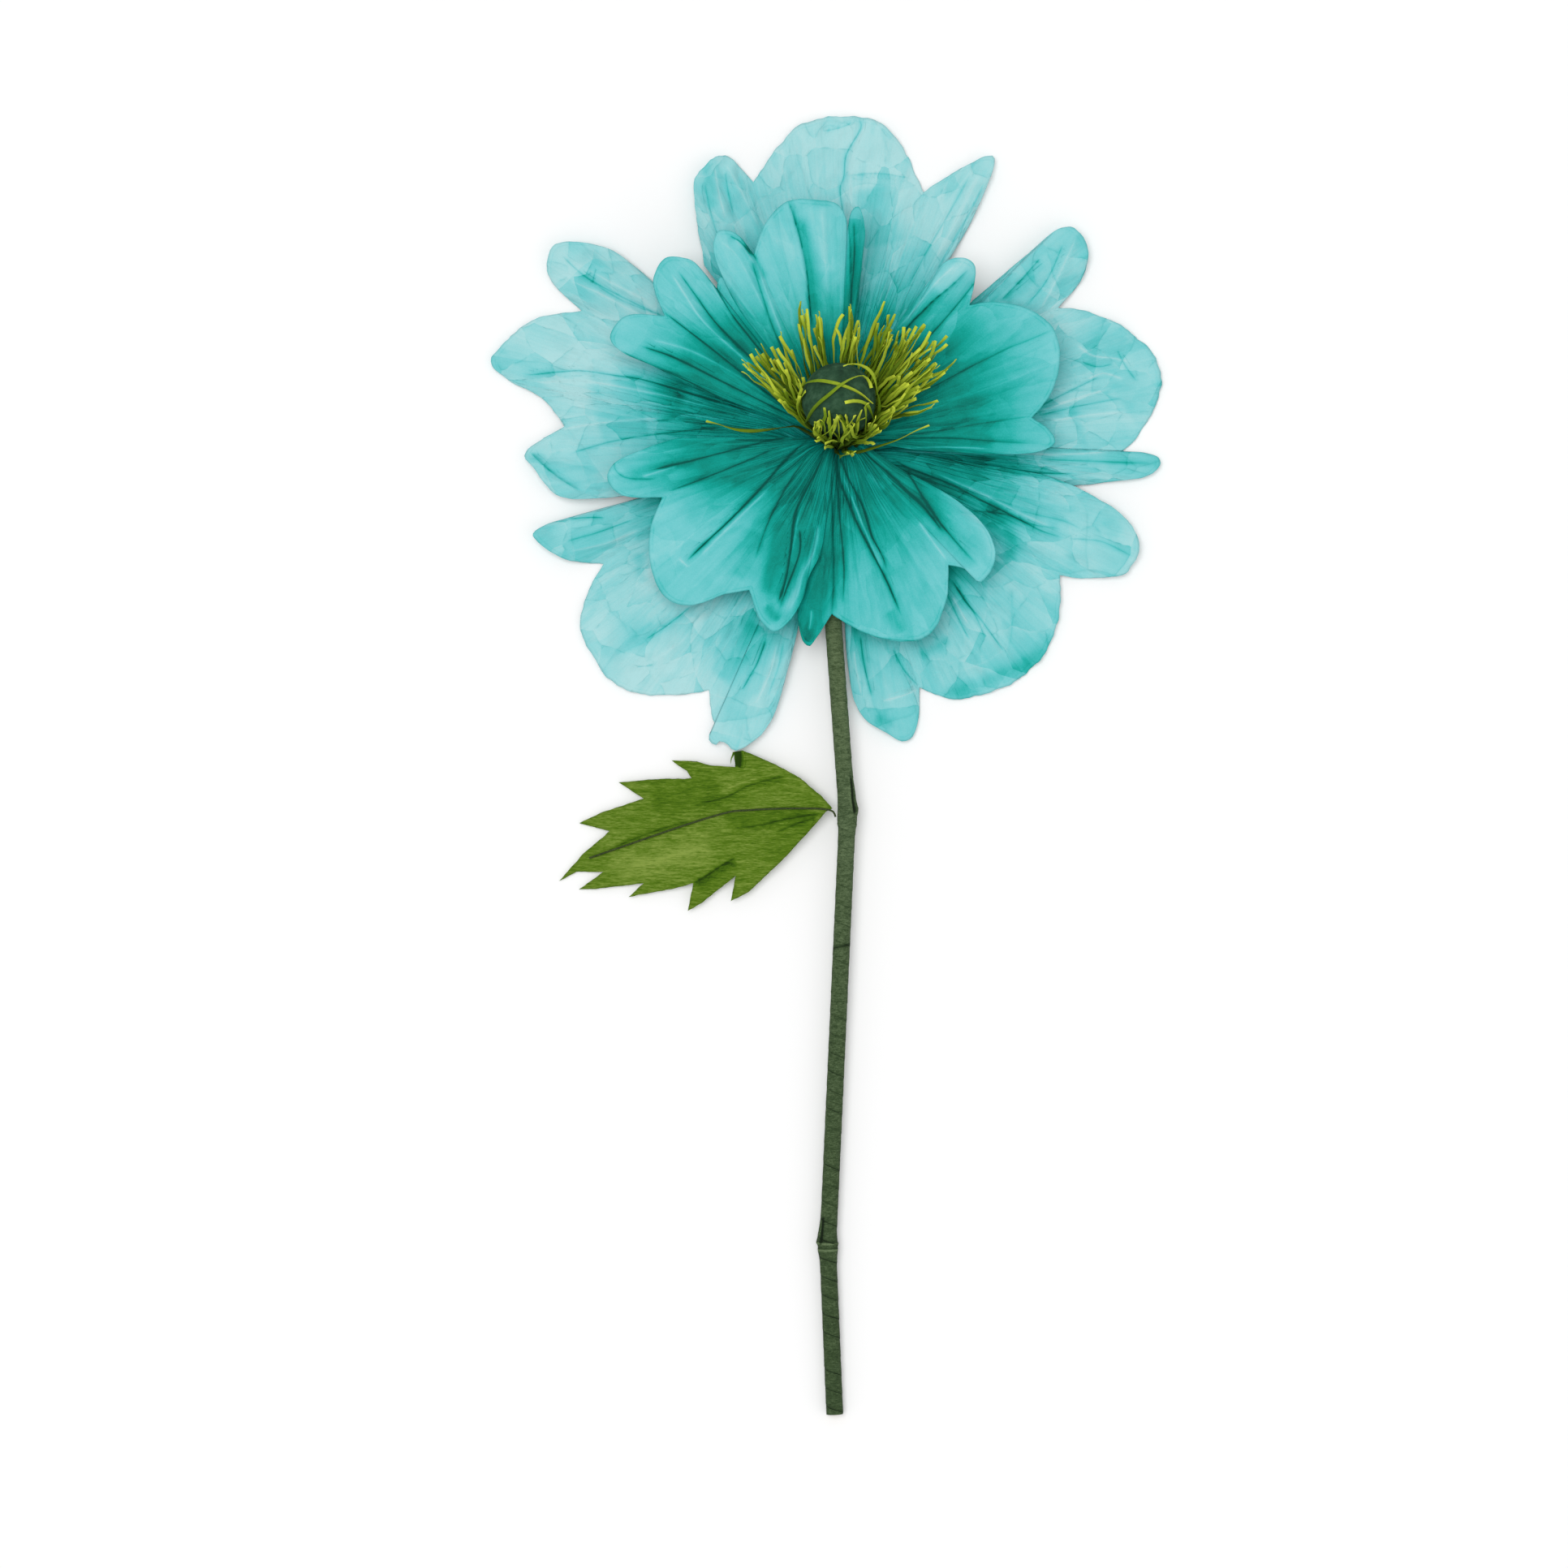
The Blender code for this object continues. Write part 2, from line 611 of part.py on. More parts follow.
def build_fringe(name, turn, material):
    """A paper strip rolled round the neck. Its top edge is cut into strands that gather in tufts."""
    size = FRINGES[name]
    count = size["strands"]
    near = fringe_inner_radius(turn)
    far = near + FRINGE_BAND
    crossings = {}
    if turn == 0:
        for crossing in CROSSING_STRANDS:
            crossings[round(crossing["bearing"] / 360 * count) % count] = crossing
    bm = bmesh.new()
    rings = {}
    for key, radius, height in (("near_low", near, -NECK_DEPTH), ("far_low", far, -NECK_DEPTH),
                                ("near_top", near, 0.0), ("far_top", far, 0.0)):
        rings[key] = [bm.verts.new(axis_point(radius, 2 * math.pi * i / count, height)) for i in range(count)]
    bridge_loop(bm, rings["near_low"], rings["far_low"])
    bridge_loop(bm, rings["near_low"], rings["near_top"])
    bridge_loop(bm, rings["far_low"], rings["far_top"])
    for index in range(count):
        after = (index + 1) % count
        base = [rings["near_top"][index], rings["near_top"][after], rings["far_top"][after], rings["far_top"][index]]
        bearing = 2 * math.pi * (index + 0.5) / count
        if index in crossings:
            points = crossing_points(crossings[index], far)
        else:
            spread = bearing + TUFT_PULL * math.sin(TUFTS * bearing + turn)
            lean = math.radians(size["lean"] + LEAN_SWAY * math.sin(index * LEAN_STEP + turn))
            length = size["length"] * (1 - LENGTH_SWAY * (1 - math.sin(index * LENGTH_STEP + 2 * turn)))
            points = []
            for share in (STRAND_KNEE, 1.0):
                reach = near + length * share * math.sin(lean)
                points.append(axis_point(reach, spread, length * share * math.cos(lean)))
        extrude_strand(bm, base, points, axis_point(0, 0, 0))
    return finish_object(name, bm, material, 60.0)


# Petals

def inner_height(bearing, reach):
    """Height of the inner ring's paper above the neck's foot."""
    to_stem = -math.sin(bearing)
    grow = 1 - math.exp(-max(0.0, reach - inner_foot_radius()) / INNER_RING["flare"])
    height = INNER_RING["foot_height"] + (INNER_RING["crown"] + INNER_RING["crown_lean"] * to_stem) * grow
    past = max(0.0, reach - LEVEL_RADIUS)
    return height - (INNER_DROOP + INNER_DROOP_LEAN * to_stem) * past * past / (past + INNER_DROOP_EASE)


def outer_height(bearing, reach):
    """Height of the outer ring's paper: down from the neck to the table it lies on."""
    grow = 1 - math.exp(-max(0.0, reach - outer_foot_radius()) / OUTER_RING["flare"])
    level = OUTER_RING["foot_height"] + OUTER_RING["crown"] * grow
    share = min(1.0, max(0.0, (reach - LEVEL_RADIUS) / (OUTER_LANDING - LEVEL_RADIUS)))
    landed = OUTER_TIP_HEIGHT - HEAD_HEIGHT
    return landed + (level - landed) * (1 - share) ** OUTER_SAG


def petal_columns(petal, reach):
    """Outline places from one edge of the foot to the other, each with its place in its lobe."""
    columns = []
    for number, lobe in enumerate(petal["lobes"]):
        steps = CENTRE_LOBE_COLUMNS if number == 1 else SIDE_LOBE_COLUMNS
        samples = catmull(lobe, steps)
        for step, sample in enumerate(samples):
            if step == 0 and number > 0:
                continue
            columns.append({"place": sample * reach / 100, "across": step / steps, "lobe": number})
    return columns


def row_shares(foot_radius, reach):
    """Shares of a column's way out: the foot, the same three rounds on every petal, then the lobe."""
    span = reach - foot_radius
    shares = [0.0] + [(radius - foot_radius) / span for radius in NECK_ROWS]
    return shares + [shares[-1] + (1 - shares[-1]) * share for share in LOBE_ROWS]


def petal_lift(petal, column, share):
    """The lobe's dome, the crease along its rib and the curl of its tip."""
    arch = math.sin(math.pi * column["across"])
    rib = math.exp(-((column["across"] - 0.5) / RIB_SPREAD) ** 2)
    curl = petal["curl"][column["lobe"]] * 0.001
    return (LOBE_DOME * arch - RIB_DEPTH * rib) * share + curl * arch ** 2 * share ** 4


def build_petal(name, petal, reach, foot_radius, foot_bottom, height_of, material):
    """One petal: gathered foot in the neck, then pleats that open out to the three cut lobes."""
    columns = petal_columns(petal, reach)
    start = math.radians(petal["foot"][0] - FOOT_GAP / 2)
    end = math.radians(petal["foot"][1] + FOOT_GAP / 2)
    last = len(columns) - 1
    bm = bmesh.new()
    faces_up = []
    faces_down = []
    for number, column in enumerate(columns):
        across = number / last
        bearing = start + (end - start) * across
        gather = GATHER_DEPTH * (1 if number % 2 else -1)
        foot = Vector((math.cos(bearing), math.sin(bearing)))
        ups = []
        downs = []
        for side, row in ((-1, ups), (1, downs)):
            radius = foot_radius + gather + side * PETAL_THICKNESS / 2
            place = foot * radius
            row.append(bm.verts.new(neck_point(place.x, place.y, foot_bottom)))
        for share in row_shares(foot_radius, column["place"].length):
            place = (foot * (foot_radius + gather)).lerp(column["place"], share)
            out = place.length
            fade = math.exp(-(out - foot_radius) / GATHER_FADE)
            laid = smooth_step((out - foot_radius) / SHINGLE_START) * SHINGLE * (1 - 2 * across)
            centre = height_of(math.atan2(place.y, place.x), out) + laid
            centre += petal_lift(petal, column, share)
            if share > 0:
                centre += gather * fade
            half = PETAL_THICKNESS / 2
            ups.append(bm.verts.new(neck_point(place.x, place.y, centre + half)))
            downs.append(bm.verts.new(neck_point(place.x, place.y, centre - half)))
        faces_up.append(ups)
        faces_down.append(downs)
    rows = len(faces_up[0])
    for left, right, low_left, low_right in zip(faces_up, faces_up[1:], faces_down, faces_down[1:]):
        for row in range(rows - 1):
            bm.faces.new((left[row], right[row], right[row + 1], left[row + 1]))
            bm.faces.new((low_left[row], low_left[row + 1], low_right[row + 1], low_right[row]))
        bm.faces.new((left[0], low_left[0], low_right[0], right[0]))
        bm.faces.new((left[-1], right[-1], low_right[-1], low_left[-1]))
    for ups, downs in ((faces_up[0], faces_down[0]), (faces_up[-1], faces_down[-1])):
        for row in range(rows - 1):
            bm.faces.new((ups[row], ups[row + 1], downs[row + 1], downs[row]))
    return finish_object(name, bm, material, 60.0)


def build_neck_tape(material):
    """Tape from the cane's top round the petal feet: a thin funnel that follows the bend."""
    top = cane_knees()[-1]
    direction = cane_direction(UPPER_BEARING)
    cane_hole = wrap_radius() + WRAP_LAP + SEAT_GAP
    feet_hole = outer_foot_radius() + GATHER_DEPTH + PETAL_THICKNESS / 2 + SEAT_GAP
    lower = top - direction * TAPE_OVERLAP
    neck_axis = axis_point(0, 0, 1) - axis_point(0, 0, 0)
    stations = [
        (lower, direction, cane_hole),
        (top, direction, cane_hole),
        (top.lerp(axis_point(0, 0, -NECK_DEPTH), TAPE_BEND_PLACE),
         (direction + neck_axis * TAPE_BEND_LEAN).normalized(), (cane_hole + feet_hole) / 2),
        (axis_point(0, 0, -NECK_DEPTH - SEAT_GAP * 2), neck_axis, feet_hole),
        (axis_point(0, 0, TAPE_TOP), neck_axis, feet_hole),
    ]
    bm = bmesh.new()
    shells = []
    for extra in (TAPE_THICKNESS, 0.0):
        loops = []
        for centre, along, hole in stations:
            side = Vector((1, 0, 0))
            side = (side - along * side.dot(along)).normalized()
            up = along.cross(side)
            loops.append([bm.verts.new(centre + (side * math.cos(2 * math.pi * i / TAPE_SIDES)
                                                 + up * math.sin(2 * math.pi * i / TAPE_SIDES)) * (hole + extra))
                          for i in range(TAPE_SIDES)])
        for before, after in zip(loops, loops[1:]):
            bridge_loop(bm, before, after)
        shells.append(loops)
    bridge_loop(bm, shells[0][0], shells[1][0])
    bridge_loop(bm, shells[0][-1], shells[1][-1])
    return finish_object("neck_tape", bm, material)


# Leaf

def leaf_base():
    """Where the leaf's stalk meets the wrap, beside the upper bamboo node."""
    place = LOWER_LENGTH + MIDDLE_LENGTH
    reach = wrap_radius() + WRAP_LAP + NODE_SWELL + SEAT_GAP
    return cane_point(place) - Vector((reach, 0, 0))


def leaf_height(along, aside):
    """Height of the leaf's paper: it arches from the stalk to the table, folded at the midrib."""
    base = leaf_base().z - LEAF_WIRE_RADIUS
    share = min(1.0, max(0.0, along / (LEAF_TIP[0] * 0.001)))
    away = abs(aside - midrib_offset(along))
    wave = math.sin((along + away * LEAF_VEIN_SLANT) * 2 * math.pi / LEAF_VEIN_SPACING)
    vein = LEAF_VEIN_DEPTH * wave * smooth_step(away / LEAF_FOLD_WIDTH)
    height = LEAF_TIP_HEIGHT + (base - LEAF_TIP_HEIGHT) * (1 - share) ** LEAF_ARCH
    droop = LEAF_SIDE_DROOP * away * (1 - share)
    return max(LEAF_TIP_HEIGHT, height - droop) + vein * (1 - share) + LEAF_VEIN_DEPTH * share


def midrib_offset(along):
    knots = [(x * 0.001, y * 0.001) for x, y in LEAF_MIDRIB]
    if along <= knots[0][0]:
        return knots[0][1]
    for (x0, y0), (x1, y1) in zip(knots, knots[1:]):
        if along <= x1:
            return y0 + (y1 - y0) * (along - x0) / (x1 - x0)
    return knots[-1][1]


def leaf_point(along, aside, lift):
    base = leaf_base()
    return Vector((base.x - along, base.y + aside, leaf_height(along, aside) + lift))


def build_leaf(material):
    """The toothed blade, filled between its outline and its midrib, one sheet thick."""
    outline = [Vector(p) * 0.001 for p in LEAF_UPPER_EDGE + [LEAF_TIP] + LEAF_LOWER_EDGE]
    inside = [Vector(p) * 0.001 for p in LEAF_MIDRIB + LEAF_FOLDS]
    rib_edges = [(len(outline) + i, len(outline) + i + 1) for i in range(len(LEAF_MIDRIB) - 1)]
    flat, _, triangles, _, _, _ = delaunay_2d_cdt(outline + inside, rib_edges, [list(range(len(outline)))], 1, 1e-7)
    bm = bmesh.new()
    top = [bm.verts.new(leaf_point(p.x, p.y, LEAF_THICKNESS / 2)) for p in flat]
    low = [bm.verts.new(leaf_point(p.x, p.y, -LEAF_THICKNESS / 2)) for p in flat]
    for face in triangles:
        bm.faces.new([top[i] for i in face])
        bm.faces.new([low[i] for i in reversed(face)])
    rim = [edge for edge in bm.edges if len(edge.link_faces) == 1]
    partner = dict(zip(top, low))
    for edge in rim:
        first, second = edge.verts
        if first in partner and second in partner:
            bm.faces.new((first, second, partner[second], partner[first]))
    for vert in [vert for vert in bm.verts if not vert.link_faces]:
        bm.verts.remove(vert)
    return finish_object("leaf_blade", bm, material, 30.0)


def build_leaf_wire(material):
    """Paper-covered wire on top of the fold, hooked down to the stem as the leaf's stalk."""
    lift = LEAF_THICKNESS / 2 + SEAT_GAP + LEAF_WIRE_RADIUS + LEAF_VEIN_DEPTH / 2
    stalk = leaf_base() + Vector((-LEAF_WIRE_RADIUS, 0, 0))
    hook = leaf_point(LEAF_UPPER_EDGE[0][0] * 0.001, LEAF_MIDRIB[0][1] * 0.0007, lift)
    route = [stalk, hook] + [leaf_point(x * 0.001, y * 0.001, lift) for x, y in LEAF_MIDRIB]
    bm = bmesh.new()
    loops = sweep_tube(bm, route, [LEAF_WIRE_RADIUS] * len(route), LEAF_WIRE_SIDES)
    bm.faces.new(loops[0])
    bm.faces.new(loops[-1])
    return finish_object("leaf_wire", bm, material)


def centre_on_origin(items):
    """Hangs the flower from an empty that puts the middle of its footprint on the origin."""
    corners = [item.matrix_world @ vert.co for item in items for vert in item.data.vertices]
    low = Vector((min(c.x for c in corners), min(c.y for c in corners), min(c.z for c in corners)))
    high = Vector((max(c.x for c in corners), max(c.y for c in corners), 0))
    holder = bpy.data.objects.new("flower", None)
    bpy.context.collection.objects.link(holder)
    holder.location = (-(low.x + high.x) / 2, -(low.y + high.y) / 2, -low.z)
    for item in items:
        item.parent = holder


def main():
    clear_scene()
    bamboo = make_material("bamboo", (0.55, 0.42, 0.22), 0.6)
    stem_paper = make_material("stem_paper", (0.05, 0.11, 0.04), 0.85)
    ball_paper = make_material("ball_paper", (0.025, 0.06, 0.045), 0.85)
    strand_paper = make_material("strand_paper", (0.36, 0.45, 0.02), 0.8)
    inner_paper = make_material("inner_petal_paper", (0.03, 0.52, 0.50), 0.75)
    outer_paper = make_material("outer_petal_paper", (0.25, 0.62, 0.62), 0.75)
    leaf_paper = make_material("leaf_paper", (0.11, 0.24, 0.02), 0.8)
    wire = make_material("wire", (0.10, 0.14, 0.08), 0.6)
    foam = make_material("foam", (0.85, 0.85, 0.82), 0.9)
    items = [build_cane(bamboo), build_wrap(stem_paper), build_neck_wire(wire), build_neck_tape(stem_paper),
             build_ball_core(foam), build_ball_cover(ball_paper)]
    for turn, name in enumerate(FRINGES):
        items.append(build_fringe(name, turn, strand_paper))
    for name, petal in INNER_PETALS.items():
        items.append(build_petal(name, petal, INNER_REACH, inner_foot_radius(), -NECK_DEPTH, inner_height,
                                 inner_paper))
    for name, petal in OUTER_PETALS.items():
        items.append(build_petal(name, petal, OUTER_REACH, outer_foot_radius(), -NECK_DEPTH, outer_height,
                                 outer_paper))
    items.append(build_leaf(leaf_paper))
    items.append(build_leaf_wire(wire))
    centre_on_origin(items)


main()
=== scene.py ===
import math
import random

import bpy
import numpy as np
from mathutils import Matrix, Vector, noise
from mathutils.geometry import delaunay_2d_cdt


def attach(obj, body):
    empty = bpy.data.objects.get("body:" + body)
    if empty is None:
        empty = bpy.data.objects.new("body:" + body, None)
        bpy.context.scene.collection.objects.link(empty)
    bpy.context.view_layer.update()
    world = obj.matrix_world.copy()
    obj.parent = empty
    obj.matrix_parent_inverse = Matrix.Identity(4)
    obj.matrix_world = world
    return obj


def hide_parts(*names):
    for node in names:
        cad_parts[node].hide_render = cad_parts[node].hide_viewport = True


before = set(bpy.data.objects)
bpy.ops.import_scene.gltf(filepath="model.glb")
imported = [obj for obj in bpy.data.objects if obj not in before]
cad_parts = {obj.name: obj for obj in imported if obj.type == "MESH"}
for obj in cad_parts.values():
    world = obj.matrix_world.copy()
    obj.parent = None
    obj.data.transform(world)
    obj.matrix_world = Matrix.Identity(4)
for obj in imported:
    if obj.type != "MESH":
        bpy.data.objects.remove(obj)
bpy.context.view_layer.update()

# Paper flower on a wrapped cane, seen from straight above. Lengths are in metres unless a name says
# otherwise. Creases, bands of darker or lighter tone (dye, and in places painted shade) and strand ends
# are given as places in the picture, 1932 pixels wide.

view = {"x": -0.0264, "y": -0.0115, "height": 3.6225, "lens": 135.0, "sensor": 36.0,
        "middle": 966.0, "pixelsPerMetre": 2000.0}
holder = (0.004816, -0.399085, 0.000073)
cane = {"lengths": (0.103, 0.265, 0.204), "bearings": (-2.4, 2.6, -4.2), "rise": 1.45,
        "radius": 0.0044, "wrap": 0.0051, "swell": 0.0010, "spread": 0.0065,
        "budSwell": 0.0016, "budLength": 0.020}
neck = {"height": 0.0340, "tilt": 37.0, "sidestep": 0.0092, "forward": 0.0270, "depth": 0.0120,
        "level": 0.045, "innerFoot": 0.0079, "outerFoot": 0.0094}


# Shared helpers

def toLinear(value):
    value = value / 255.0
    return value / 12.92 if value <= 0.04045 else ((value + 0.055) / 1.055) ** 2.4


def paint(red, green, blue):
    return (toLinear(red), toLinear(green), toLinear(blue), 1.0)


def smooth(share):
    share = np.clip(share, 0.0, 1.0)
    return share * share * (3 - 2 * share)


def evenCurve(points, steps, fine=24):
    """A smooth curve through the points, as steps + 1 evenly spaced places."""
    points = np.array(points, float)
    padded = np.vstack([points[:1], points, points[-1:]])
    t = (np.arange(fine) / fine)[:, None]
    dense = []
    for i in range(len(points) - 1):
        a, b, c, d = padded[i:i + 4]
        dense.append(0.5 * ((2 * b) + (c - a) * t + (2 * a - 5 * b + 4 * c - d) * t * t
                            + (3 * b - a - 3 * c + d) * t ** 3))
    dense = np.vstack(dense + [points[-1:]])
    lengths = np.concatenate([[0], np.cumsum(np.linalg.norm(np.diff(dense, axis=0), axis=1))])
    wanted = np.linspace(0, lengths[-1], steps + 1)
    return np.stack([np.interp(wanted, lengths, dense[:, k]) for k in range(points.shape[1])], axis=1)


def caneKnees():
    """Cut end, lower node, upper node and top of the cane."""
    place = Vector((0, 0, cane["wrap"])) + Vector(holder)
    knees = [place]
    rise = math.radians(cane["rise"])
    for length, bearing in zip(cane["lengths"], cane["bearings"]):
        turn = math.radians(bearing)
        step = Vector((math.sin(turn) * math.cos(rise), math.cos(turn) * math.cos(rise), math.sin(rise)))
        place = place + step * length
        knees.append(place)
    return knees


knees = caneKnees()
head = Vector((knees[-1].x + neck["sidestep"], knees[-1].y + neck["forward"], neck["height"] + holder[2]))


def neckPlace(x, y, height):
    """From the neck's own leaning space to the flower's. Past the level radius it stays level."""
    reach = np.hypot(x, y)
    ease = smooth((reach - neck["innerFoot"]) / (neck["level"] - neck["innerFoot"]))
    tilt = math.radians(neck["tilt"]) * (1 - ease)
    return np.stack([head.x + x, head.y + y * np.cos(tilt) + height * np.sin(tilt),
                     head.z + height * np.cos(tilt) - y * np.sin(tilt)], axis=-1)


def axisPlace(radius, bearing, height):
    tilt = math.radians(neck["tilt"])
    x, y = radius * math.cos(bearing), radius * math.sin(bearing)
    return Vector((head.x + x, head.y + y * math.cos(tilt) + height * math.sin(tilt),
                   head.z + height * math.cos(tilt) - y * math.sin(tilt)))


def inPicture(places):
    """Where places of the flower are seen in the picture."""
    scale = view["pixelsPerMetre"] * view["height"] / (view["height"] - places[..., 2])
    return (view["middle"] + (places[..., 0] - view["x"]) * scale,
            view["middle"] - (places[..., 1] - view["y"]) * scale)


def fromPicture(x, y, z):
    scale = view["pixelsPerMetre"] * view["height"] / (view["height"] - z)
    return Vector((view["x"] + (x - view["middle"]) / scale, view["y"] - (y - view["middle"]) / scale, z))


def meshPiece(name, corners, faces, material, nodes, values=None, uvs=None):
    """A finished piece: its mesh, its values at the corners, its material and its place in the frame."""
    mesh = bpy.data.meshes.new(name)
    mesh.from_pydata([tuple(c) for c in corners], [], faces)
    mesh.shade_smooth()
    for key, numbers in (values or {}).items():
        layer = mesh.attributes.new(key, "FLOAT", "POINT")
        layer.data.foreach_set("value", np.asarray(numbers, np.float32))
    if uvs is not None:
        layer = mesh.uv_layers.new(name="UVMap")
        order = np.zeros(len(mesh.loops), np.int32)
        mesh.loops.foreach_get("vertex_index", order)
        layer.data.foreach_set("uv", np.asarray(uvs, np.float32)[order].ravel())
    mesh.materials.append(material)
    piece = bpy.data.objects.new(name, mesh)
    bpy.context.collection.objects.link(piece)
    finishPiece(piece, nodes)
    return piece


def finishPiece(piece, nodes):
    if nodes:
        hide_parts(*nodes)
    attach(piece, "root")


def newMaterial(name, roughness):
    material = bpy.data.materials.new(name)
    material.use_nodes = True
    tree = material.node_tree
    shader = tree.nodes["Principled BSDF"]
    shader.inputs["Roughness"].default_value = roughness
    shader.inputs["Specular IOR Level"].default_value = 0.12
    return material, tree, shader


def link(tree, fromNode, fromSocket, toNode, toSocket):
    tree.links.new(fromNode.outputs[fromSocket], toNode.inputs[toSocket])


def addNode(tree, kind, **settings):
    node = tree.nodes.new(kind)
    for key, value in settings.items():
        setattr(node, key, value)
    return node


def rampNode(tree, stops):
    node = addNode(tree, "ShaderNodeValToRGB")
    ramp = node.color_ramp
    while len(ramp.elements) < len(stops):
        ramp.elements.new(0.5)
    for element, (place, colour) in zip(ramp.elements, stops):
        element.position = place
        element.color = colour
    return node


def mathNode(tree, operation, first, second=None):
    """A sum or product of sockets and plain numbers."""
    node = addNode(tree, "ShaderNodeMath", operation=operation)
    for index, value in enumerate((first, second)):
        if value is None:
            continue
        if isinstance(value, (int, float)):
            node.inputs[index].default_value = value
        else:
            tree.links.new(value, node.inputs[index])
    return node.outputs[0]


def noiseNode(tree, coordinates, scale, detail=3.0, rough=0.55, stretch=None):
    node = addNode(tree, "ShaderNodeTexNoise")
    node.inputs["Scale"].default_value = scale
    node.inputs["Detail"].default_value = detail
    node.inputs["Roughness"].default_value = rough
    source = coordinates
    if stretch:
        mapping = addNode(tree, "ShaderNodeMapping")
        mapping.inputs["Scale"].default_value = stretch
        tree.links.new(coordinates, mapping.inputs["Vector"])
        source = mapping.outputs["Vector"]
    tree.links.new(source, node.inputs["Vector"])
    return node


def bumpChain(tree, shader, layers):
    """Stacks bump layers, each a height socket, a strength and a distance, onto the shader's normal."""
    last = None
    for height, strength, distance in layers:
        bump = addNode(tree, "ShaderNodeBump")
        bump.inputs["Strength"].default_value = strength
        bump.inputs["Distance"].default_value = distance
        tree.links.new(height, bump.inputs["Height"])
        if last:
            tree.links.new(last.outputs["Normal"], bump.inputs["Normal"])
        last = bump
    tree.links.new(last.outputs["Normal"], shader.inputs["Normal"])
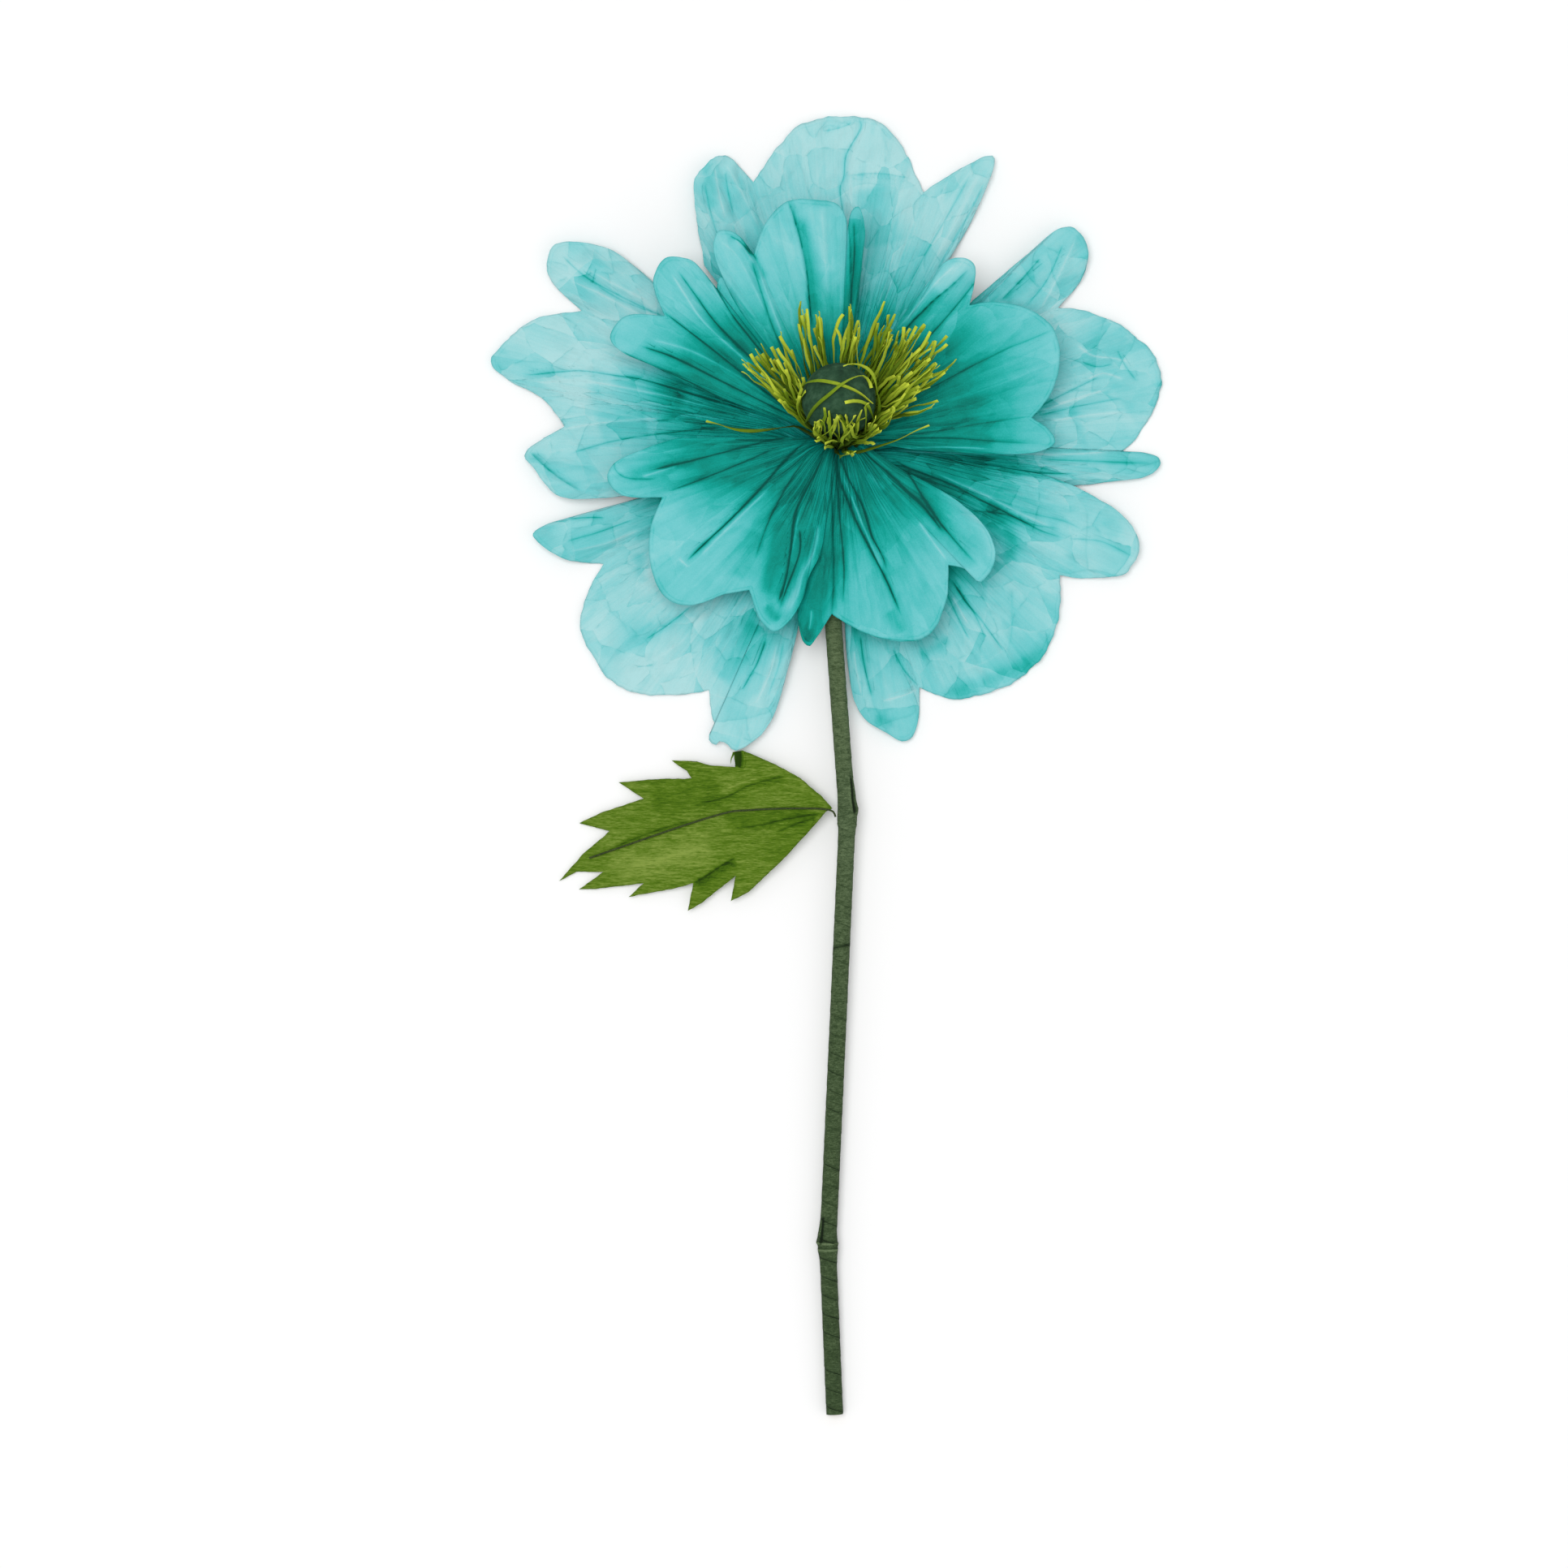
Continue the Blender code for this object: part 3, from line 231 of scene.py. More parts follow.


# Petals. Outlines are in hundredths of the ring's reach, three lobes from notch to notch, clockwise.
# A crease is its kind, its width in pixels, its lift in millimetres, how much darker it is and its
# way. A fold is raised on the right of its way. The darkening along valleys and on the low side of
# folds is painted shade and the lightening along ridges is painted highlight; bands darken or lighten a
# strip, partly dye and partly painted shade between and under petals.

innerPetals = {
    "inner_petal_top": {
        "foot": (129, 73), "curl": (3.0, 6.0, 8.0), "dye": ((0.2, 0.9), (0.15, 0.85), (0.35, 1.1)),
        "lobes": [
            [(-42, 55), (-49, 70), (-51.3, 79), (-49, 85.5), (-41.5, 84), (-34.7, 76)],
            [(-34.7, 76), (-30, 88.5), (-21, 97.3), (-11, 98), (-1, 96.7), (3, 91), (3.5, 84)],
            [(3.5, 84), (5.2, 93), (8.5, 95), (10.8, 86), (10, 76), (8, 56)]],
        "creases": [
            ("fold", 3, 3.0, 0.26, [(968, 245), (972, 250), (980, 275), (987, 300), (993, 330), (996, 360), (1000, 410)]),
            ("band", 8, 0, 0.22, [(984, 262), (994, 300), (1001, 340), (1004, 390)]),
            ("fold", 2.5, 2.0, 0.14, [(1044, 262), (1047, 300), (1048, 340), (1050, 390)]),
            ("band", 9, 0, 0.08, [(1056, 262), (1058, 300), (1056, 340), (1050, 380)]),
            ("valley", 2, 1.2, 0.20, [(1052, 270), (1053, 310), (1050, 350), (1046, 390)]),
            ("valley", 2, 1.4, 0.28, [(898, 290), (912, 298), (928, 316)]),
            ("valley", 1.5, 1.0, 0.22, [(908, 284), (918, 300), (934, 322)]),
            ("ridge", 1.5, 1.0, -0.16, [(904, 294), (916, 306), (930, 326)]),
            ("band", 6, 0, 0.20, [(915, 300), (930, 320), (942, 345)]),
            ("ridge", 2, 1.2, -0.10, [(886, 296), (905, 312), (922, 340), (945, 390)]),
            ("valley", 2, 1.8, 0.34, [(890, 345), (912, 385), (935, 420), (960, 460), (990, 500)]),
            ("valley", 2.5, 1.4, 0.22, [(925, 318), (938, 360), (955, 410), (985, 470)]),
            ("ridge", 1.5, 1.0, -0.12, [(934, 330), (948, 370), (966, 418)]),
            ("band", 13, 0, -0.14, [(1010, 250), (1016, 290), (1019, 340)]),
            ("ridge", 3, 0.8, -0.06, [(1012, 255), (1015, 300), (1020, 370)])]},
    "inner_petal_upper_right": {
        "foot": (73, -15), "curl": (7.0, 2.0, 1.0), "dye": ((0.3, 0.91), (0.44, 1.0), (0.32, 1.0)),
        "lobes": [
            [(26, 50), (37, 64), (44, 72.6), (52, 74), (56.4, 69.5), (54, 55.3)],
            [(54, 55.3), (64, 56.4), (77, 53.8), (88, 46), (91, 32), (87, 18.5), (79.5, 9)],
            [(79.5, 9), (86.5, 4), (89, -1.5), (80, -5.5), (60, -6), (34, -4.6)]],
        "creases": [
            ("fold", 2.5, 1.8, 0.26, [(1195, 330), (1172, 352), (1150, 370), (1134, 386), (1120, 400), (1090, 440)]),
            ("band", 12, 0, -0.20, [(1196, 318), (1175, 336), (1150, 358)]),
            ("valley", 2.5, 1.8, 0.28, [(1208, 338), (1190, 362), (1165, 392), (1135, 425), (1090, 470)]),
            ("ridge", 1.5, 1.0, -0.14, [(1178, 326), (1152, 350), (1128, 380), (1100, 412)]),
            ("valley", 1.5, 0.8, 0.14, [(1300, 405), (1270, 418), (1240, 430), (1190, 455), (1130, 488)]),
            ("ridge", 4, 0.9, -0.06, [(1290, 450), (1240, 470), (1180, 492), (1110, 520)]),
            ("valley", 4, 1.4, 0.10, [(1275, 512), (1220, 520), (1160, 530), (1090, 540)]),
            ("band", 8, 0, 0.18, [(1110, 535), (1170, 540), (1230, 545)]),
            ("fold", 2, 1.2, 0.16, [(1060, 548), (1110, 541), (1170, 540), (1240, 545), (1290, 547)]),
            ("ridge", 1.5, 1.0, -0.18, [(1105, 553), (1160, 551), (1220, 553)])]},
    "inner_petal_lower_right": {
        "foot": (-15, -102), "curl": (6.0, 1.0, -2.0), "dye": ((0.1, 0.88), (0.12, 0.76), (0.5, 1.2)),
        "lobes": [
            [(31, -15), (49, -25.7), (61, -37.5), (64.2, -49), (58.5, -58.7), (52, -53.2), (45.3, -51.7)],
            [(45.3, -51.7), (44.3, -66), (38.5, -79), (28, -83), (14, -80.7), (3, -75.3), (-2.7, -71.7)],
            [(-2.7, -71.7), (-9, -81.5), (-12.3, -84.8), (-15.5, -80), (-16.5, -66), (-11, -40)]],
        "creases": [
            ("valley", 4.5, 2.6, 0.30, [(1062, 540), (1090, 560), (1117, 581), (1137, 612), (1157, 642), (1183, 673), (1208, 700)]),
            ("valley", 1.5, 1.2, 0.34, [(1060, 552), (1073, 563), (1114, 601), (1140, 627), (1165, 660)]),
            ("ridge", 1.5, 1.0, -0.20, [(1131, 642), (1150, 668), (1168, 693)]),
            ("band", 7, 0, -0.14, [(1150, 592), (1173, 609), (1206, 642), (1222, 673), (1222, 701)]),
            ("valley", 2.5, 1.8, 0.50, [(1028, 560), (1035, 591), (1055, 642), (1076, 683), (1094, 719), (1112, 762)]),
            ("valley", 1.6, 1.2, 0.36, [(1034, 560), (1045, 588), (1063, 624), (1075, 662), (1086, 683), (1094, 704)]),
            ("ridge", 1.5, 1.2, -0.18, [(1038, 585), (1057, 632), (1074, 673), (1090, 708)]),
            ("valley", 1.4, 0.5, 0.14, [(1040, 768), (1068, 782), (1105, 788), (1140, 789), (1165, 780)]),
            ("band", 9, 0, 0.16, [(1094, 752), (1104, 766), (1112, 780)]),
            ("band", 4, 0, -0.16, [(1068, 583), (1078, 592), (1090, 604)]),
            ("band", 3, 0, -0.14, [(1088, 583), (1099, 596)]),
            ("band", 8, 0, 0.22, [(988, 748), (992, 770), (998, 792)]),
            ("ridge", 1.5, 1.0, -0.24, [(1000, 751), (999, 764), (997, 778)]),
            ("band", 9, 0, 0.50, [(1022, 600), (1019, 655), (1011, 700), (1000, 738)]),
            ("fold", 3, 2.4, 0.12, [(1024, 580), (1026, 650), (1027, 710), (1024, 766)]),
            ("valley", 3, 1.5, 0.24, [(1030, 575), (1035, 640), (1040, 700), (1038, 752)])]},
    "inner_petal_lower_left": {
        "foot": (-102, -191), "curl": (5.0, 0.0, 2.0), "dye": ((0.3, 0.95), (0.16, 0.78), (0.4, 1.0)),
        "lobes": [
            [(-4.6, -31), (-7, -36), (-6.2, -41), (-8.2, -49), (-12.3, -57), (-14.9, -66), (-20, -74.5),
             (-26.5, -79), (-32, -74), (-36.7, -62)],
            [(-36.7, -62), (-47, -63.7), (-60, -68), (-71, -65), (-77, -53), (-77.3, -37), (-72.3, -23.7)],
            [(-72.3, -23.7), (-88, -23.2), (-95, -16.5), (-91.5, -9.3), (-78, -3.2), (-66, 0.7)]],
        "creases": [
            ("valley", 4, 2.6, 0.50, [(957, 747), (968, 715), (974, 681), (979, 638), (988, 613), (1003, 584), (1018, 552)]),
            ("ridge", 1.8, 1.6, -0.20, [(963, 747), (971, 705), (979, 664), (984, 636), (994, 612)]),
            ("valley", 2.5, 1.4, 0.36, [(985, 650), (986, 676), (979, 700), (968, 728), (960, 752)]),
            ("band", 9, 0, 0.24, [(966, 640), (958, 664), (952, 690), (947, 705), (944, 735)]),
            ("band", 7, 0, 0.24, [(944, 745), (951, 757), (960, 765)]),
            ("band", 5, 0, -0.22, [(1009, 640), (1005, 660), (1000, 684), (988, 708), (979, 734), (964, 758)]),
            ("ridge", 2, 1.6, -0.07, [(1020, 590), (1012, 618), (1006, 642), (1008, 654), (1003, 680), (990, 706), (981, 736), (966, 760)]),
            ("valley", 2.2, 1.6, 0.50, [(843, 694), (870, 668), (900, 640), (935, 604), (974, 560), (1000, 538)]),
            ("ridge", 1.6, 1.0, -0.16, [(862, 686), (892, 656), (925, 624), (952, 597)]),
            ("ridge", 1.5, 0.8, -0.20, [(836, 688), (843, 694), (848, 699)]),
            ("valley", 3, 1.2, 0.20, [(930, 690), (948, 640), (975, 590), (1000, 555)]),
            ("band", 14, 0, 0.12, [(908, 715), (915, 685), (930, 650)]),
            ("band", 8, 0, 0.14, [(770, 588), (800, 579), (835, 572), (875, 566), (920, 558)]),
            ("ridge", 1.6, 0.8, -0.22, [(790, 588), (812, 581), (836, 574)]),
            ("valley", 2, 1.2, 0.28, [(800, 580), (850, 568), (900, 555), (960, 540), (1000, 534)]),
            ("valley", 2, 1.2, 0.22, [(822, 606), (860, 592), (910, 572), (960, 550)]),
            ("valley", 1.4, 0.6, 0.18, [(812, 590), (773, 589), (757, 576), (765, 561), (800, 545), (834, 533)]),
            ("band", 16, 0, 0.12, [(835, 640), (880, 610), (930, 580), (980, 550)])]},
    "inner_petal_upper_left": {
        "foot": (169, 129), "curl": (2.0, 4.0, 1.0), "dye": ((0.50, 1.0), (0.46, 0.92), (0.42, 1.0)),
        "lobes": [
            [(-56, 20), (-76.7, 30.3), (-89, 36), (-93.8, 42.5), (-86.5, 51), (-71.3, 50.7)],
            [(-71.3, 50.7), (-76, 64), (-71.5, 74), (-62, 74), (-57, 70.5), (-50, 62)],
            [(-50, 62), (-49, 66.5), (-46, 65.5), (-41.5, 59.2), (-35.5, 50.8)]],
        "creases": [
            ("valley", 2.5, 2.0, 0.38, [(785, 425), (830, 440), (880, 465), (930, 490), (985, 518)]),
            ("ridge", 1.8, 1.4, -0.16, [(800, 418), (850, 432), (900, 458), (950, 490)]),
            ("valley", 2, 1.5, 0.32, [(815, 382), (845, 405), (890, 440), (940, 480), (985, 510)]),
            ("ridge", 1.8, 1.2, -0.18, [(823, 330), (845, 365), (870, 400), (925, 450), (970, 495)]),
            ("valley", 2, 1.6, 0.30, [(834, 332), (858, 365), (884, 400), (935, 450)]),
            ("valley", 1.6, 1.2, 0.30, [(866, 336), (879, 350), (900, 385), (925, 417), (950, 448)]),
            ("ridge", 1.5, 1.0, -0.16, [(874, 345), (886, 366), (905, 392)]),
            ("fold", 2.5, 1.4, 0.24, [(764, 430), (790, 447), (830, 462), (880, 486), (940, 512)])]},
}
outerPetals = {
    "outer_petal_top": {
        "foot": (133, 52), "curl": (6.0, 0.0, 5.0), "dye": (0.22, 0.03, 0.07),
        "lobes": [
            [(-41, 54), (-44.3, 78), (-39, 86.4), (-33.5, 87.5), (-26, 80)],
            [(-26, 80), (-17, 92.8), (-8, 99), (9, 99.8), (19, 92), (26.4, 77)],
            [(26.4, 77), (34, 82), (45.5, 87.7), (47.8, 84.5), (41, 68), (34, 56.2)]],
        "creases": [
            ("valley", 3, 2.4, 0.28, [(1054, 142), (1061, 157), (1043, 190), (1040, 217), (1035, 233), (1039, 262), (1050, 330)]),
            ("ridge", 2, 1.4, -0.14, [(1068, 152), (1052, 190), (1048, 225), (1050, 262)]),
            ("fold", 2.2, 1.6, 0.16, [(1122, 220), (1080, 214), (1040, 217)]),
            ("fold", 2.5, 1.8, 0.18, [(1012, 162), (1034, 158), (1058, 148)]),
            ("band", 26, 0, 0.20, [(1078, 226), (1085, 262), (1096, 305)]),
            ("band", 30, 0, 0.05, [(1130, 300), (1115, 350), (1090, 400)]),
            ("band", 34, 0, 0.09, [(1066, 226), (1084, 275), (1100, 340)]),
            ("band", 7, 0, 0.16, [(866, 190), (872, 225), (880, 260)]),
            ("valley", 1.5, 1.2, 0.18, [(893, 211), (898, 240), (904, 268)]),
            ("ridge", 1.5, 1.0, -0.14, [(880, 205), (886, 240), (894, 270)]),
            ("valley", 1.5, 1.0, 0.16, [(868, 225), (875, 260), (884, 290), (895, 320)]),
            ("ridge", 2.5, 1.4, -0.10, [(893, 200), (915, 240), (935, 280)]),
            ("valley", 1.5, 1.2, 0.18, [(1196, 214), (1172, 258), (1142, 310), (1115, 360)]),
            ("ridge", 1.5, 1.2, -0.14, [(1206, 215), (1180, 268), (1150, 325)]),
            ("valley", 1.5, 1.0, 0.16, [(1214, 222), (1196, 260), (1170, 305), (1150, 340)])]},
    "outer_petal_upper_right": {
        "foot": (52, -11), "curl": (7.0, 0.0, 3.0), "dye": (0.30, 0.20, 0.30),
        "lobes": [
            [(41.6, 43.5), (57, 56.5), (69.4, 66), (76.5, 61), (75.5, 51), (67.9, 41.5)],
            [(67.9, 41.5), (76, 40.5), (89, 34.5), (97.5, 26.5), (99, 15.5), (93, 3), (87.6, -2.8)],
            [(87.6, -2.8), (95, -3.3), (99.1, -5.5), (95.5, -10.3), (80, -12.6), (71.6, -13.3)]],
        "creases": [
            ("fold", 3, 2.2, 0.26, [(1282, 318), (1258, 345), (1232, 372)]),
            ("valley", 1.8, 1.6, 0.20, [(1310, 300), (1290, 345), (1262, 380)]),
            ("ridge", 1.5, 1.2, -0.14, [(1326, 292), (1304, 340), (1280, 385)]),
            ("ridge", 1.5, 1.4, -0.20, [(1326, 424), (1345, 438), (1368, 441), (1392, 446)]),
            ("valley", 1.5, 1.2, 0.20, [(1332, 446), (1352, 452), (1372, 448)]),
            ("ridge", 1.5, 1.0, -0.20, [(1340, 468), (1360, 460), (1385, 468)]),
            ("valley", 1.5, 1.0, 0.18, [(1376, 430), (1386, 450), (1402, 472)]),
            ("valley", 1.5, 1.2, 0.22, [(1276, 503), (1318, 482), (1358, 462)]),
            ("valley", 1.5, 1.2, 0.18, [(1280, 512), (1330, 500), (1385, 490)]),
            ("ridge", 1.3, 1.0, -0.18, [(1280, 507), (1325, 492), (1372, 477)]),
            ("ridge", 1.3, 1.0, -0.14, [(1290, 520), (1340, 512), (1390, 508)]),
            ("band", 30, 0, -0.14, [(1330, 530), (1360, 520), (1390, 500)]),
            ("ridge", 1.5, 1.0, -0.20, [(1089, 555), (1183, 559), (1310, 560), (1382, 555)]),
            ("valley", 1.8, 1.2, 0.28, [(1150, 566), (1209, 573), (1260, 582), (1336, 584)]),
            ("valley", 1.5, 1.0, 0.18, [(1280, 566), (1340, 568), (1420, 571)])]},
    "outer_petal_lower_right": {
        "foot": (-11, -95), "curl": (4.0, 0.0, 5.0), "dye": (0.22, 0.26, 0.27),
        "lobes": [
            [(62, -10), (74, -14.3), (87, -22.3), (92.7, -31), (88.5, -40.2), (76, -41.9), (68.4, -41)],
            [(68.4, -41), (67.6, -55), (61.5, -68), (50, -75.8), (36, -79), (25.1, -75.5)],
            [(25.1, -75.5), (24.4, -87), (21, -91.8), (12, -88), (5.5, -81), (2.8, -66), (2.0, -52)]],
        "creases": [
            ("valley", 2.0, 1.6, 0.26, [(1095, 562), (1119, 576), (1170, 596), (1209, 616), (1260, 642), (1285, 655), (1323, 666)]),
            ("valley", 1.4, 1.2, 0.16, [(1193, 629), (1239, 634), (1272, 646), (1311, 652)]),
            ("valley", 1.3, 1.0, 0.16, [(1316, 664), (1340, 665), (1362, 669), (1400, 688)]),
            ("valley", 1.3, 1.0, 0.14, [(1254, 629), (1311, 642), (1336, 655)]),
            ("ridge", 1.3, 1.2, -0.18, [(1150, 582), (1209, 608), (1260, 634), (1300, 650)]),
            ("band", 10, 0, 0.20, [(1205, 632), (1225, 632), (1242, 650), (1247, 667), (1242, 695)]),
            ("valley", 1.3, 1.4, 0.24, [(1172, 713), (1188, 739), (1209, 764), (1240, 808)]),
            ("valley", 5, 1.4, 0.08, [(1246, 724), (1247, 770), (1242, 805)]),
            ("band", 10, 0, 0.19, [(1290, 800), (1254, 822), (1209, 842), (1158, 858)]),
            ("ridge", 1.2, 1.0, -0.18, [(1173, 734), (1183, 752), (1193, 770)]),
            ("valley", 1.3, 1.0, 0.20, [(1166, 730), (1180, 760), (1195, 790)]),
            ("valley", 1.3, 1.0, 0.18, [(1178, 722), (1200, 755), (1215, 790)]),
            ("band", 7, 0, 0.16, [(1132, 810), (1152, 799), (1173, 787)]),
            ("ridge", 6, 1.6, -0.05, [(1170, 830), (1215, 815), (1250, 790)]),
            ("valley", 1.8, 1.4, 0.28, [(1060, 782), (1063, 808), (1068, 833), (1075, 860)]),
            ("valley", 1.5, 1.2, 0.22, [(1099, 798), (1114, 826), (1132, 846)]),
            ("ridge", 1.3, 1.0, -0.20, [(1086, 864), (1110, 858), (1132, 849)]),
            ("ridge", 1.5, 1.2, -0.16, [(1052, 800), (1056, 830), (1062, 860)]),
            ("band", 8, 0, 0.14, [(1078, 883), (1090, 888), (1102, 891)])]},
    "outer_petal_lower_left": {
        "foot": (-95, -162), "curl": (4.0, 0.0, 7.0), "dye": (0.20, 0.05, 0.30),
        "lobes": [
            [(-10.6, -49.5), (-14.9, -68), (-21, -86.5), (-30.4, -94.5), (-35.8, -91.8), (-37.8, -93.2), (-39.6, -91.8), (-39.4, -89.6),
             (-37.6, -88), (-39, -83), (-39.6, -76)],
            [(-39.6, -76), (-52, -78), (-66, -75.8), (-75, -67), (-79.3, -56), (-76.5, -45), (-71.9, -37.3)],
            [(-71.9, -37.3), (-84, -36), (-93.5, -29.5), (-90, -25.5), (-78, -22.0)]],
        "creases": [
            ("band", 10, 0, 0.10, [(740, 806), (758, 800), (780, 788), (797, 776), (809, 761)]),
            ("band", 8, 0, 0.18, [(786, 680), (790, 698), (792, 720)]),
            ("valley", 1.5, 1.3, 0.24, [(794, 789), (825, 768), (855, 744)]),
            ("valley", 1.3, 0.9, 0.20, [(782, 822), (795, 821), (807, 818)]),
            ("valley", 6, 1.8, 0.06, [(850, 745), (825, 772), (795, 790), (755, 808)]),
            ("ridge", 5, 1.6, -0.06, [(870, 752), (845, 785), (815, 808), (775, 832)]),
            ("band", 14, 0, 0.22, [(885, 840), (905, 815), (920, 790), (935, 765)]),
            ("valley", 1.6, 1.6, 0.28, [(913, 853), (923, 835), (933, 817), (945, 785)]),
            ("band", 14, 0, -0.04, [(925, 880), (945, 845), (960, 800)]),
            ("band", 24, 0, 0.08, [(818, 758), (850, 770), (885, 780)]),
            ("ridge", 1.3, 1.0, -0.14, [(930, 870), (948, 830), (958, 790)]),
            ("valley", 1.2, 1.0, 0.14, [(945, 860), (958, 825), (966, 790)]),
            ("valley", 1.5, 1.2, 0.24, [(700, 640), (722, 638), (746, 638)]),
            ("valley", 2, 1.3, 0.18, [(780, 640), (740, 655), (695, 668)]),
            ("ridge", 1.5, 1.0, -0.14, [(790, 652), (745, 670), (700, 680)])]},
    "outer_petal_left": {
        "foot": (198, 133), "curl": (5.0, 0.0, 8.0), "dye": (0.16, 0.14, 0.09),
        "lobes": [
            [(-56, -15), (-73, -17.4), (-86.3, -16.5), (-93, -8.8), (-96.4, -3.8), (-91, 1), (-84.1, 4.8)],
            [(-84.1, 4.8), (-91, 13.6), (-101, 19), (-106.6, 25.5), (-96.5, 36), (-87, 39.5), (-78.9, 40.5)],
            [(-78.9, 40.5), (-88, 49.5), (-89, 57.5), (-84.3, 61.4), (-71, 59.5), (-62.5, 54), (-56.5, 49)]],
        "creases": [
            ("valley", 2, 1.8, 0.28, [(640, 458), (653, 462), (690, 458), (720, 457), (760, 463), (800, 470), (900, 500)]),
            ("ridge", 1.5, 1.2, -0.16, [(660, 472), (720, 470), (800, 484), (880, 503)]),
            ("fold", 3, 1.8, 0.24, [(652, 556), (668, 572), (690, 590), (716, 606)]),
            ("band", 8, 0, 0.16, [(655, 560), (665, 580), (680, 592)]),
            ("valley", 1.5, 1.2, 0.20, [(700, 560), (750, 545), (810, 535), (900, 525)]),
            ("ridge", 1.5, 1.0, -0.14, [(690, 530), (750, 520), (820, 515)]),
            ("band", 26, 0, 0.14, [(720, 480), (780, 478), (850, 490)]),
            ("band", 28, 0, 0.09, [(600, 442), (650, 440), (705, 446)]),
            ("band", 22, 0, 0.10, [(750, 462), (800, 472), (850, 488)]),
            ("band", 24, 0, 0.16, [(735, 530), (765, 520), (800, 516)]),
            ("valley", 1.5, 1.4, 0.22, [(690, 312), (720, 340), (765, 365), (822, 392)]),
            ("ridge", 1.3, 1.2, -0.16, [(700, 345), (745, 365), (800, 395)]),
            ("valley", 1.3, 1.0, 0.20, [(730, 350), (732, 340), (735, 330)]),
            ("valley", 1.3, 1.0, 0.18, [(735, 352), (770, 372), (820, 390)]),
            ("ridge", 1.3, 1.0, -0.14, [(720, 330), (760, 352), (800, 372)])]},
}

petalLook = {
    "inner": {"reach": 0.1486, "foot": neck["innerFoot"], "thickness": 0.00028, "columns": (44, 72, 44),
              "rows": 92, "gather": 0.0004, "shingle": 0.0013, "shingleStart": 0.003, "dome": 0.0022,
              "rib": 0.0012, "ribSpread": 0.09, "crumple": (0.0020, 0.0007), "pleat": 0.0012,
              "edgeWave": 0.0005, "seed": 3.0, "strewnLift": 0.25, "strewnTone": 0.5},
    "outer": {"reach": 0.2000, "foot": neck["outerFoot"], "thickness": 0.00028, "columns": (52, 90, 52),
              "rows": 108, "gather": 0.0004, "shingle": 0.0013, "shingleStart": 0.003, "dome": 0.0022,
              "rib": 0.0010, "ribSpread": 0.07, "crumple": (0.0056, 0.0026), "pleat": 0.0012,
              "edgeWave": 0.0012, "seed": 11.0, "strewnLift": 1.0, "strewnTone": 1.0},
}
crumpleLook = {"cell": 0.034, "fineCell": 0.012, "stretch": 0.35, "middle": 0.11, "warp": 0.45,
               "lines": 150, "lineLength": (0.010, 0.045), "lineWidth": (0.6, 1.8), "lineLift": (0.35, 1.1)}
pleatLook = {"fine": 58, "coarse": 23, "fadeFine": 0.030, "fadeCoarse": 0.060, "growth": 0.012}
lineLook = {"layers": 4, "reach": 7.0, "width": 0.78, "widen": 0.10, "ink": 1.1, "soft": 0.6}
groundGap = 0.0004


def innerHeight(bearing, reach):
    """Height of the inner ring's paper over the neck's foot."""
    toStem = -np.sin(bearing)
    grow = 1 - np.exp(-np.maximum(0.0, reach - neck["innerFoot"]) / 0.007)
    past = np.maximum(0.0, reach - neck["level"])
    return (0.0018 + 0.0045 * toStem) * grow - (0.075 + 0.10 * toStem) * past * past / (past + 0.02)


def outerHeight(bearing, reach):
    """Height of the outer ring's paper, down from the neck to the table."""
    grow = 1 - np.exp(-np.maximum(0.0, reach - neck["outerFoot"]) / 0.007)
    level = -0.0065 - 0.0035 * grow
    share = np.clip((reach - neck["level"]) / (0.172 - neck["level"]), 0.0, 1.0)
    landed = 0.0010 - neck["height"]
    return landed + (level - landed) * (1 - share) ** 1.25


def cellRelief(x, y, cell, seed):
    """Flat facets between sharp lines, like paper that was crumpled and opened out again."""
    reach = np.hypot(x, y) + 1e-4
    squeeze = (reach / crumpleLook["middle"]) ** -crumpleLook["stretch"] / cell
    relief = np.zeros(x.size)
    for i, (u, v) in enumerate(zip((x * squeeze).ravel(), (y * squeeze).ravel())):
        spot = Vector((u, v, seed))
        spot += noise.noise_vector(spot * 0.6) * crumpleLook["warp"]
        near, second = noise.voronoi(spot)[0][:2]
        relief[i] = second - near
    return relief.reshape(x.shape)


def pleats(x, y, seed):
    """Gathers that run out from the neck, sharp in the valleys, many near it and few further out."""
    bearing = np.arctan2(y, x)
    reach = np.hypot(x, y)
    past = np.maximum(0.0, reach - neck["innerFoot"])
    sway = 0.5 * np.sin(3 * bearing + seed) + 0.35 * np.sin(7 * bearing + 2 * seed)
    fine = np.abs(np.sin(0.5 * pleatLook["fine"] * bearing + 2.2 * sway)) - 0.6
    coarse = np.abs(np.sin(0.5 * pleatLook["coarse"] * bearing + 1.7 * sway + seed)) - 0.6
    grow = np.minimum(1.0, past / pleatLook["growth"])
    return (fine * grow * np.exp(-past / pleatLook["fadeFine"])
            + 1.5 * coarse * grow * np.exp(-past / pleatLook["fadeCoarse"]))


def wayDistance(px, py, way):
    """Distance to a way in pixels, which side of it, and how far along it from 0 to 1."""
    way = np.array(way, float)
    lengths = np.linalg.norm(np.diff(way, axis=0), axis=1)
    before = np.concatenate([[0], np.cumsum(lengths)])
    best = np.full(px.shape, 1e9)
    side = np.ones(px.shape)
    along = np.zeros(px.shape)
    for i, (start, end) in enumerate(zip(way, way[1:])):
        dx, dy = end - start
        t = np.clip(((px - start[0]) * dx + (py - start[1]) * dy) / (lengths[i] ** 2), 0, 1)
        gap = np.hypot(px - start[0] - t * dx, py - start[1] - t * dy)
        closer = gap < best
        best = np.where(closer, gap, best)
        cross = dx * (py - start[1]) - dy * (px - start[0])
        side = np.where(closer, np.where(cross > 0, 1.0, -1.0), side)
        along = np.where(closer, (before[i] + t * lengths[i]) / before[-1], along)
    return best, side, along


